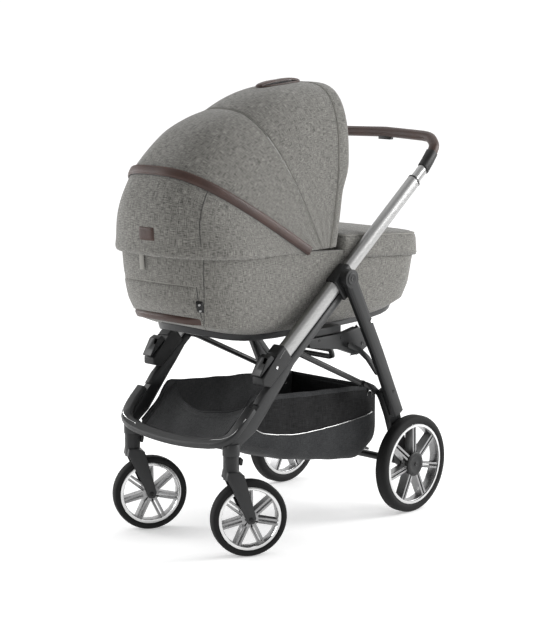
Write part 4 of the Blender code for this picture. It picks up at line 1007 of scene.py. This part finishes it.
for side, u in (("right", 0.0), ("left", 1.0)):
    edge = [onGrid(flapRows, u, k / 24, 0.0004)[0] for k in range(25)]
    cordPiece(f"pocketEdge_{side}", edge, 0.0013, blackThread, "carrycot")
# black cord just above the flap's top edge: painted shade along the pocket's mouth
mouthShade = [onGrid(flapRows, k / 40, 0.0, -0.0006)[0] + Vector((0, 0, 0.0030)) for k in range(41)]
cordPiece("pocketMouthShade", mouthShade, 0.0010, blackThread, "carrycot")
clip = patchOn(tubRows, (0.4325, 0.4415), (0.500, 0.385), 0.0085, True, 8, 8, 0.2, 0.001)
clothPiece("pocketTab", clip, 0.0016, blackPlastic, "carrycot")
for number, v in enumerate((0.470, 0.415)):
    spot, up = onGrid(tubRows, 0.4370, v, 0.0092, True)
    rivetPiece(f"pocketStud{number}", spot, up, (0.0034, 0.0014, 0.3), silverTube, "carrycot")
tagRows = patchOn(backRows, *pocket["tag"], 0.0030, False, 12, 10, 0.12, 0.0004)
clothPiece("leatherTag", tagRows, 0.0012, brownLeather, "carrycot")
frameLine = [(u, 0.10) for u in spread(0.10, 0.90, 10)] + [(0.90, v) for v in spread(0.10, 0.90, 8)[1:]]
frameLine += [(u, 0.90) for u in spread(0.90, 0.10, 10)[1:]] + [(0.10, v) for v in spread(0.90, 0.10, 8)[1:]]
sewn = [onGrid(tagRows, u, v, 0.0006) for u, v in frameLine]
sewPiece("tagThread", [p for p, _ in sewn], [n for _, n in sewn], "tag", brownThread, "carrycot")
loopLine, loopUps = lineOn(tubRows, [(0.505, v) for v in (0.96, 0.90, 0.82, 0.745)], 0.0052, True)
dress(ribbon("headLoop", loopLine, loopUps, 0.0085, 0.0022, 0.3), greyThread, "carrycot")
for side, sign in sides:
    def mirrored(places):
        return [(u if sign > 0 else 1 - u, v) for u, v in places]
    seamOn(f"backSeam_{side}", backRows, mirrored(pocket["backSeam"]), 0.0010)
    seamOn(f"tubSeam_{side}", tubRows, mirrored(pocket["tubSeam"]), 0.0009, True)
hemLine, hemUps = lineOn(tubRows, [(u, 0.905) for u in spread(0.03, 0.97, 60)], 0.0002, True, 2)
sewPiece("tubHemThread", hemLine, hemUps, "tub", greyThread, "carrycot")
print("pocket and tag made")

# foot apron

apron = {"start": -0.235, "skirt": 0.020, "corner": 0.016}


def apronRing(lift, inset, count=150):
    # evenly spaced points round the apron: straight front edge, rounded foot end
    reach, power = cot["footCap"]
    half, start, end = cot["half"] + 0.003 - inset, apron["start"] + inset, cot["foot"] + 0.004
    side = footCurve(half, end - reach, reach - inset, power)
    corner = apron["corner"]
    for k in range(9):
        angle = math.pi / 2 * k / 8
        side.append((half - corner + corner * math.cos(angle), start + corner - corner * math.sin(angle), 0))
    side.append((0, start, 0))
    return [at(p.x, p.y, rimHeight(p.y) + lift) for p in evenLine(bothSides(side)[:-1], count, closed=True)]


# lift and inset of each ring, from the hem over the rolled edge to the middle of the top
apronSteps = ((-apron["skirt"], -0.0042), (-apron["skirt"] * 0.5, -0.0052), (0.0, -0.0048), (0.012, -0.0042),
              (0.026, -0.0034), (0.038, -0.0010), (0.0455, 0.0050), (0.0490, 0.0150), (0.0505, 0.0350),
              (0.0520, 0.0700), (0.0530, 0.1050), (0.0535, 0.1300))
apronRows = [apronRing(lift, inset) for lift, inset in apronSteps]
apronCloth = shellPiece("footApron", [apronRing(-apron["skirt"] + 0.002, -0.0010)] + apronRows)
dress(apronCloth, greyCloth, "carrycot", ["foot_cover"])
cordPiece("apronEdgePiping", apronRing(0.0435, 0.0016), 0.0016, greyThread, "carrycot", closed=True)
hemRing = apronRing(-apron["skirt"] * 0.62, -0.0060)
hemUps = [(p - at(0, -0.05, p.z)).normalized() for p in hemRing]
sewPiece("apronHemThread", hemRing + hemRing[:1], hemUps + hemUps[:1], "hood", greyThread, "carrycot")
print("apron made")

# mattress


def fillPad(obj, voxel, pressure, cap, frames=20):
    # swells a pad like a filled cover, never further than the cap
    only(obj)
    step = obj.modifiers.new("remesh", "REMESH")
    step.mode = "VOXEL"
    step.voxel_size = voxel
    bpy.ops.object.modifier_apply(modifier=step.name)
    start = [v.co.copy() for v in obj.data.vertices]
    step = obj.modifiers.new("cloth", "CLOTH")
    step.settings.use_pressure = True
    step.settings.uniform_pressure_force = pressure
    step.settings.effector_weights.gravity = 0
    step.settings.tension_stiffness = 25
    step.settings.bending_stiffness = 2
    for when in range(frames):
        bpy.context.scene.frame_set(when + 1)
    bpy.ops.object.modifier_apply(modifier=step.name)
    bpy.context.scene.frame_set(1)
    for vertex, first in zip(obj.data.vertices, start):
        moved = vertex.co - first
        if moved.length > cap:
            vertex.co = first + moved.normalized() * cap
    step = obj.modifiers.new("smooth", "SUBSURF")
    step.levels = step.render_levels = 1
    bpy.ops.object.modifier_apply(modifier=step.name)
    bpy.ops.object.shade_smooth()
    return obj


def floorRing(margin, lift):
    return [Vector((p.x, p.y, cot["floor"] + lift)) for p in cotRing(0.05, -cot["wall"] - margin, count=96)]


# margin and lift of the rings, from its underside to its top
padSteps = ((0.016, 0.0035), (0.010, 0.006), (0.008, 0.014), (0.010, 0.022), (0.018, 0.0255))
mattress = shellPiece("mattressPad", [floorRing(margin, lift) for margin, lift in padSteps])
fillPad(mattress, voxel=0.006, pressure=2.0, cap=0.004)
dress(mattress, mattressCloth, "carrycot", ["mattress"])
print("mattress made")


# basket

# heights of the bag's hem, floor and cord along it
bag = {"top": ((-0.700, 0.322), (-0.630, 0.372), (-0.588, 0.4250), (-0.490, 0.4120), (-0.300, 0.3960),
               (-0.167, 0.3860), (-0.060, 0.3720)),
       "low": ((-0.700, 0.300), (-0.600, 0.268), (-0.497, 0.238), (-0.400, 0.207), (-0.298, 0.188),
               (-0.200, 0.171), (-0.120, 0.160), (-0.060, 0.196)),
       "cord": ((-0.700, 0.312), (-0.600, 0.330), (-0.497, 0.303), (-0.400, 0.290), (-0.298, 0.288),
                (-0.167, 0.292), (-0.060, 0.306)), "belly": 0.010, "sag": 0.010,
       "half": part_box("basket")[1].x - 0.001}


def along(table, y):
    # the height that a (y, z) table gives at y, smoothed
    if y <= table[0][0]:
        return table[0][1]
    for (a, p), (b, q) in zip(table, table[1:]):
        if y <= b:
            return p + (q - p) * ease((y - a) / (b - a)) * 0.35 + (q - p) * (y - a) / (b - a) * 0.65
    return table[-1][1]


def bagSection(y, first, last, count):
    # across the bag at y; 0 is the left hem, 0.5 the middle of the floor, 1 the right hem
    top, cord, low = along(bag["top"], y), along(bag["cord"], y), along(bag["low"], y)
    close = ease((y + 0.70) / 0.10) * ease((-0.052 - y) / 0.05)
    half = bag["half"]
    bulge, sag = bag["belly"] * close, bag["sag"] * close
    side = [(half - 0.004, top), (half - 0.001 + bulge * 0.5, (top + cord) / 2), (half + bulge * 0.7, cord),
            (half + bulge * 0.4, cord * 0.45 + low * 0.55), (half - 0.012, low + 0.014),
            (half - 0.036, low + 0.001), (half * 0.55, low - sag * 0.4), (0.0, low - sag)]
    line = smoothLine(bothSides([(x, z, 0) for x, z in side]))
    far = distances(line)
    row = []
    for share in spread(first, last, count):
        p = pointAt(line, far, far[-1] * share)
        ripple = 0.0012 * math.sin(y * 61 + p.x * 40) * close
        row.append(at(p.x + ripple, y, p.y + ripple * 0.6))
    return row


def cordShare(y):
    # where the reflective cord crosses a section, as a share of its length
    section = bagSection(y, 0.0, 0.5, 60)
    return min(range(40), key=lambda k: abs(section[k].z - along(bag["cord"], y))) / 120


bagPlaces = [-0.690 + (0.690 - 0.0615) * k / 36 for k in range(37)]
shares = [cordShare(y) for y in bagPlaces]
near = [shares[max(0, k - 2):k + 3] for k in range(len(shares))]
shares = [sum(part) / len(part) for part in near]
bellyRows = [bagSection(y, s, 1 - s, 44) for y, s in zip(bagPlaces, shares)]
clothPiece("basketBelly", bellyRows, 0.0016, basketCloth, "chassis",
           ["basket"])
for side, sign in sides:
    rows, hem, cordLine = [], [], []
    for y, s in zip(bagPlaces, shares):
        row = bagSection(y, 0.0, s, 10)
        if sign < 0:
            row = [Vector((-p.x, p.y, p.z)) for p in row]
        rows.append(row)
        hem.append(row[0])
        cordLine.append(row[-1] + Vector((sign * 0.0012, 0, 0)))
    clothPiece(f"basketSide_{side}", rows, 0.0012, basketMesh, "chassis")
    linerRows = [[p - Vector((sign * 0.0030, 0, 0)) for p in row] for row in rows]
    clothPiece(f"basketLiner_{side}", linerRows, 0.0008, apronCanvas, "chassis")
    hem = evenLine(hem, 48)
    low = [p - Vector((sign * 0.0014, 0, 0.004)) for p in hem]
    ups = [Vector((sign, 0, 0.05)).normalized()] * len(hem)
    dress(ribbon(f"basketHem_{side}", low, ups, 0.0075, 0.0026, 0.2), basketCloth, "chassis")
    for number, fall in enumerate((0.0005, 0.0090)):
        row = [p + Vector((sign * 0.0018, 0, -fall)) for p in hem]
        sewPiece(f"basketHemThread{number}_{side}", row, [Vector((sign, 0, 0))] * len(hem), "basket",
                 blackThread, "chassis")
    shown = [p for p in evenLine(cordLine, 60) if p.y > rearY - 0.60 and p.y < rearY - 0.075]
    cordPiece(f"basketCord_{side}", shown, 0.0014, silverTube, "chassis", 10)
    loopAt = hem[-3] + Vector((sign * 0.004, 0, -0.010))
    hook = [loopAt + Vector((0, math.cos(turn) * 0.010, math.sin(turn) * 0.014 - 0.014))
            for turn in spread(0, 2 * math.pi, 24)[:-1]]
    cordPiece(f"basketRing_{side}", hook, 0.0014, silverTube, "chassis", closed=True)
    hung = [hem[-3] + Vector((sign * 0.003, 0, z)) for z in spread(0.004, -0.012, 6)]
    dress(ribbon(f"basketStrap_{side}", hung, [Vector((sign, 0, 0))] * 7, 0.0075, 0.0016, 0.1), blackPlastic,
          "chassis")

# back wall, front apron and floor board
backRowsBag = []
for r in range(9):
    t = r / 8
    z0, z1 = along(bag["top"], -0.064) - 0.002, along(bag["low"], -0.064) + 0.004
    z = z0 + (z1 - z0) * t
    half = bag["half"] + 0.0005 - 0.013 * ease((t - 0.6) / 0.4)
    dip, fall = 0.010 * math.sin(math.pi * t), 0.008 * ease((t - 0.7) / 0.3)
    backRowsBag.append([at(half * (1 - 2 * k / 24), -0.063 + dip * math.sin(math.pi * k / 24) - fall, z)
                        for k in range(25)])
clothPiece("basketBack", backRowsBag, 0.0014, basketMesh, "chassis")
backHem = [p + Vector((0, 0.0012, -0.003)) for p in backRowsBag[0]]
backHem = ribbon("basketBackHem", backHem, [Vector((0, 1, 0))] * len(backHem), 0.0075, 0.0022, 0.2)
dress(backHem, basketCloth, "chassis")

apronFront = []
for r in range(15):
    t = r / 14
    row = []
    for k in range(29):
        s = 2 * k / 28 - 1
        bend = 1 - abs(s) ** 2.4
        y = -0.704 - 0.010 * bend + t * (0.062 + 0.052 * (abs(s) ** 1.6) + 0.034)
        z = 0.3120 - 0.004 * bend + 0.056 * t ** 1.15 + 0.050 * abs(s) ** 3 * t
        z += (0.0016 * math.sin(9 * s + 5 * t) - 0.010 * math.sin(math.pi * t)) * bend
        row.append(at((bag["half"] - 0.002 - 0.020 * (1 - t)) * s, y, z))
    apronFront.append(row)
clothPiece("basketFront", apronFront, 0.0022, apronCanvas, "chassis")
for number, row in enumerate((apronFront[-2], apronFront[-3])):
    lifted = [p + Vector((0, 0, 0.0014)) for p in row]
    sewPiece(f"basketFrontThread{number}", lifted, [Vector((0, -0.5, 1))] * len(row), "canvas",
             blackThread, "chassis")
hem = [p + Vector((0, 0.0004, 0.0002)) for p in apronFront[-1]]
cordPiece("basketFrontHem", hem, 0.0026, basketCloth, "chassis", 10)
board = []
for r in range(11):
    y = -0.56 + 0.47 * r / 10
    low = along(bag["low"], y) + 0.0060
    board.append([at((bag["half"] - 0.030) * (1 - 2 * k / 20), y,
                     low - bag["sag"] * 0.6 * (1 - (1 - k / 10) ** 2)) for k in range(21)])
clothPiece("basketBoard", board, 0.0030, blackPlastic, "chassis")
print("basket made")


# wheels, rivets and small fittings

wheelSizes = {"rear": {"radius": 0.145, "hub": 0.0355}, "front": {"radius": 0.1072, "hub": 0.0150},
              "wide": 0.039, "share": 0.17}


# profiles: shares of the wheel's half width, then of the tyre's wall or of the hub's radius
tyreWall = ((-0.80, 0), (-0.93, 0.10), (-1.0, 0.34), (-0.985, 0.55), (-0.90, 0.80))
rearCap = ((0.36, 0), (0.36, 1), (0.93, 1), (1.00, 0.94), (1.05, 0.66), (1.01, 0.62), (1.06, 0.30), (1.07, 0))
frontCap = ((0.34, 0), (0.34, 1), (0.52, 0.94), (0.56, 0.6), (0.56, 0))
# the tread and the lip of the rim, in metres inwards
tyreTread = ((-0.74, 0.0016), (-0.56, 0.0002), (-0.42, 0), (-0.40, 0.0016), (-0.34, 0.0016), (-0.32, 0),
             (-0.04, 0), (-0.03, 0.0016))
rimLip = ((-0.002, 0.0092), (0.0012, 0.0084), (0.0016, 0.0052), (0.0004, 0.0010), (-0.002, 0.0006),
          (-0.002, 0.0092))


def wheelFrame(where, side):
    # centre and outward axle direction of a wheel
    name = f"{where}_wheel_spin_{side}"
    axis = next(Vector(joint["axis"]) for joint in frame["joints"] if joint["name"] == name)
    return jointAt[name], axis.normalized() * (1 if side == "left" else -1)


for where in ("rear", "front"):
    size = wheelSizes[where]
    radius, half = size["radius"], wheelSizes["wide"] / 2
    seat = radius * (1 - wheelSizes["share"]) + 0.0004
    thick = radius - seat
    for side, sign in sides:
        centre, out = wheelFrame(where, side)
        tyreLine = [(half * a, seat + thick * r) for a, r in tyreWall]
        tyreLine += [(half * a, radius - r) for a, r in tyreTread]
        tyreLine += [(-a, r) for a, r in reversed(tyreLine)]
        tyre = lathe(f"{where}Tyre_{side}", tyreLine + tyreLine[:1], centre, out, 96)
        dress(tyre, tyreRubber, f"{where}_wheel_{side}", [f"{where}_tyre_{side}"])
        for face in (1, -1):
            ring = lathe(f"{where}RimLip_{side}{'In' if face < 0 else 'Out'}",
                         [(face * (half * 0.86 + a), seat - r) for a, r in rimLip], centre, out, 96)
            dress(ring, chromeLine, f"{where}_wheel_{side}")
        if where == "rear":
            cap = [(half * a, size["hub"] * r) for a, r in rearCap]
            dress(lathe(f"rearHubCap_{side}", cap, centre, out, 64), darkPlastic, f"rear_wheel_{side}")
            rivetPiece(f"rearHubBolt_{side}", centre + out * half * 1.08, out, (0.0055, 0.0018), blackPaint,
                       f"rear_wheel_{side}")
            for k in range(7):
                turn = 2 * math.pi * k / 7 + math.pi / 2
                aside = Vector((0, math.cos(turn), math.sin(turn))) * size["hub"] * 0.80
                spot = centre + out * half * 1.025 + aside
                rivetPiece(f"rearHubPin{k}_{side}", spot, out, (0.0016, 0.0008), blackPaint,
                           f"rear_wheel_{side}")
        else:
            for face, end in ((1, "Out"), (-1, "In")):
                ring = [(face * half * a, size["hub"] * r) for a, r in frontCap]
                dress(lathe(f"frontHub_{side}{end}", ring, centre, out, 48), darkPlastic,
                      f"front_wheel_{side}")
                for name, far, sizes, look in (("Bolt", 0.0298, (0.0062, 0.0022, 0.5), blackPaint),
                                               ("Socket", 0.0312, (0.0030, 0.0006, 0.2), blackPlastic)):
                    rivetPiece(f"frontAxle{name}_{side}{end}", centre + out * face * far, out * face, sizes,
                               look, f"caster_{side}")

# a rivet's distances from the pivot of the rear leg, back and up, on each seat mount
mountRivets = ((0.020, -0.178), (-0.072, -0.174), (0.112, -0.206))
bracePivots = (("brace_fold", "brace_tube", "braces"), ("brace_link_fold", "brace_link", "brace_links"),
               ("seat_stay_fold", "seat_stay", "seat_stays"))


def faceOf(node, outer, sign):
    # x of the outer or inner face of a CAD node on this side
    low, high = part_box(node)
    return high.x if (sign > 0) == outer else low.x


for side, sign in sides:
    across = Vector((sign, 0, 0))
    legFace = faceOf(f"rear_leg_{side}", True, sign)
    housingFace = faceOf(f"fold_housing_{side}", True, sign)
    # pivot cap on the rear leg with its pin, a button and a bolt lower down
    for name, lift, back, up, sizes, look in (
            ("legPivotCap", 0, 0, 0, (0.0175, 0.0016, 0.3), darkPlastic),
            ("legPivotPin", 0.0006, 0, 0, (0.0068, 0.0018, 0.4), blackPaint),
            ("legButton", 0, 0.086, -0.130, (0.0060, 0.0016, 0.3), chromeLine),
            ("legBolt", 0, 0.190, -0.352, (0.0048, 0.0014, 0.4), blackPaint)):
        spot = Vector((legFace + sign * lift, knuckleAt.y + back, knuckleAt.z + up))
        rivetPiece(f"{name}_{side}", spot, across, sizes, look, "rear_frame")
    # rivet and bright line on the fold housing
    middle = tubePoint(tubes["lowFrom"] - 0.060, 0.004)
    rivetPiece(f"housingRivet_{side}", Vector((housingFace, middle.y, middle.z)), across,
               (0.0046, 0.0013, 0.4), chromeLine, "chassis")
    line = [tubePoint(tubes["lowFrom"] - 0.008 - 0.030 * k / 10, 0.0200 - 0.0004 * k) for k in range(11)]
    line = [Vector((housingFace + sign * 0.0002, p.y, p.z)) for p in line]
    cordPiece(f"housingLine_{side}", line, 0.0008, chromeLine, "chassis")
    for number, (back, up) in enumerate(mountRivets):
        for face, way in (("In", -across), ("Out", across)):
            x = faceOf(f"seat_mount_{side}", face == "Out", sign)
            spot = Vector((x, knuckleAt.y + back, knuckleAt.z + up))
            rivetPiece(f"mountRivet{number}{face}_{side}", spot, way, (0.0048, 0.0014, 0.4), blackPaint,
                       "chassis")
    for number, (joint, node, body) in enumerate(bracePivots):
        spot = Vector((faceOf(f"{node}_{side}", False, sign), jointAt[joint].y, jointAt[joint].z))
        rivetPiece(f"pivotPin{number}_{side}", spot, -across, (0.0046, 0.0014, 0.4), silverTube, body)

# bright lines set into the footrest bow above each caster
inlay = ((0.156, -0.743, 0.317), (0.150, -0.731, 0.325), (0.191, -0.727, 0.334), (0.219, -0.714, 0.350),
         (0.230, -0.675, 0.387))
for side, sign in sides:
    line = smoothLine([Vector((sign * x, y + rearY, z)) for x, y, z in inlay], 8)
    cordPiece(f"bowInlay_{side}", line, 0.0009, chromeLine, "chassis")
print("fittings made")


# floor, light and camera

studio = {"floor": (0.92, 0.92, 0.92), "glow": 0.34, "bright": 1.06, "dim": 0.50,
          "towards": (-0.55, 0.80, -0.20)}
bpy.ops.object.select_all(action="DESELECT")
bpy.ops.mesh.primitive_plane_add(size=30, location=(0, 0, 0))
floor = bpy.context.active_object
floor.name = "studioFloor"
floorLook = bpy.data.materials.new("studioFloor")
floorLook.use_nodes = True
floorShader = floorLook.node_tree.nodes["Principled BSDF"]
for key, value in {"Base Color": (*studio["floor"], 1), "Roughness": 0.9, "Specular IOR Level": 0.1,
                   "Emission Color": (1, 1, 1, 1), "Emission Strength": studio["glow"]}.items():
    floorShader.inputs[key].default_value = value
floor.data.materials.append(floorLook)

world = bpy.data.worlds.new("studio")
bpy.context.scene.world = world
world.use_nodes = True
sky = world.node_tree
sky.nodes["Background"].inputs["Color"].default_value = (1, 1, 1, 1)
around = addNode(sky, "ShaderNodeTexCoord").outputs["Generated"]
facing = feed(sky, "ShaderNodeVectorMath", {0: around, 1: studio["towards"]}, "Value",
              operation="DOT_PRODUCT")
level = ranged(sky, facing, -0.75, 0.25, studio["dim"], studio["bright"], interpolation_type="SMOOTHSTEP")
sky.links.new(level, sky.nodes["Background"].inputs["Strength"])


def softLight(name, place, target, size, power):
    data = bpy.data.lights.new(name, "AREA")
    data.shape = "RECTANGLE"
    data.size, data.size_y = size
    data.energy = power
    obj = newObject(name, data)
    obj.location = place
    obj.rotation_mode = "QUATERNION"
    obj.rotation_quaternion = (Vector(target) - Vector(place)).to_track_quat("-Z", "Y")


softLight("headLight", (-3.1, -1.6, 1.3), (0, -0.2, 0.8), (1.0, 1.8), 46)
softLight("footLight", (2.4, 3.2, 1.9), (0, 0.1, 0.7), (1.4, 2.0), 105)
softLight("topLight", (-0.6, 1.6, 3.2), (0, 0.2, 0.8), (2.2, 1.6), 7)

cameraSizes = {"place": (3.72240, -4.28680 + rearY, 1.53238), "tilt": 90 - 9.7159, "turn": 43.1456,
               "lens": 108.75}
cameraData = bpy.data.cameras.new("productCamera")
camera = newObject("productCamera", cameraData)
camera.location = cameraSizes["place"]
camera.rotation_euler = (math.radians(cameraSizes["tilt"]), 0, math.radians(cameraSizes["turn"]))
cameraData.sensor_fit = "VERTICAL"
cameraData.sensor_height = 36
cameraData.lens = cameraSizes["lens"]
bpy.context.scene.camera = camera
bpy.context.scene.view_settings.view_transform = "Standard"
print("studio ready")

bpy.context.view_layer.update()
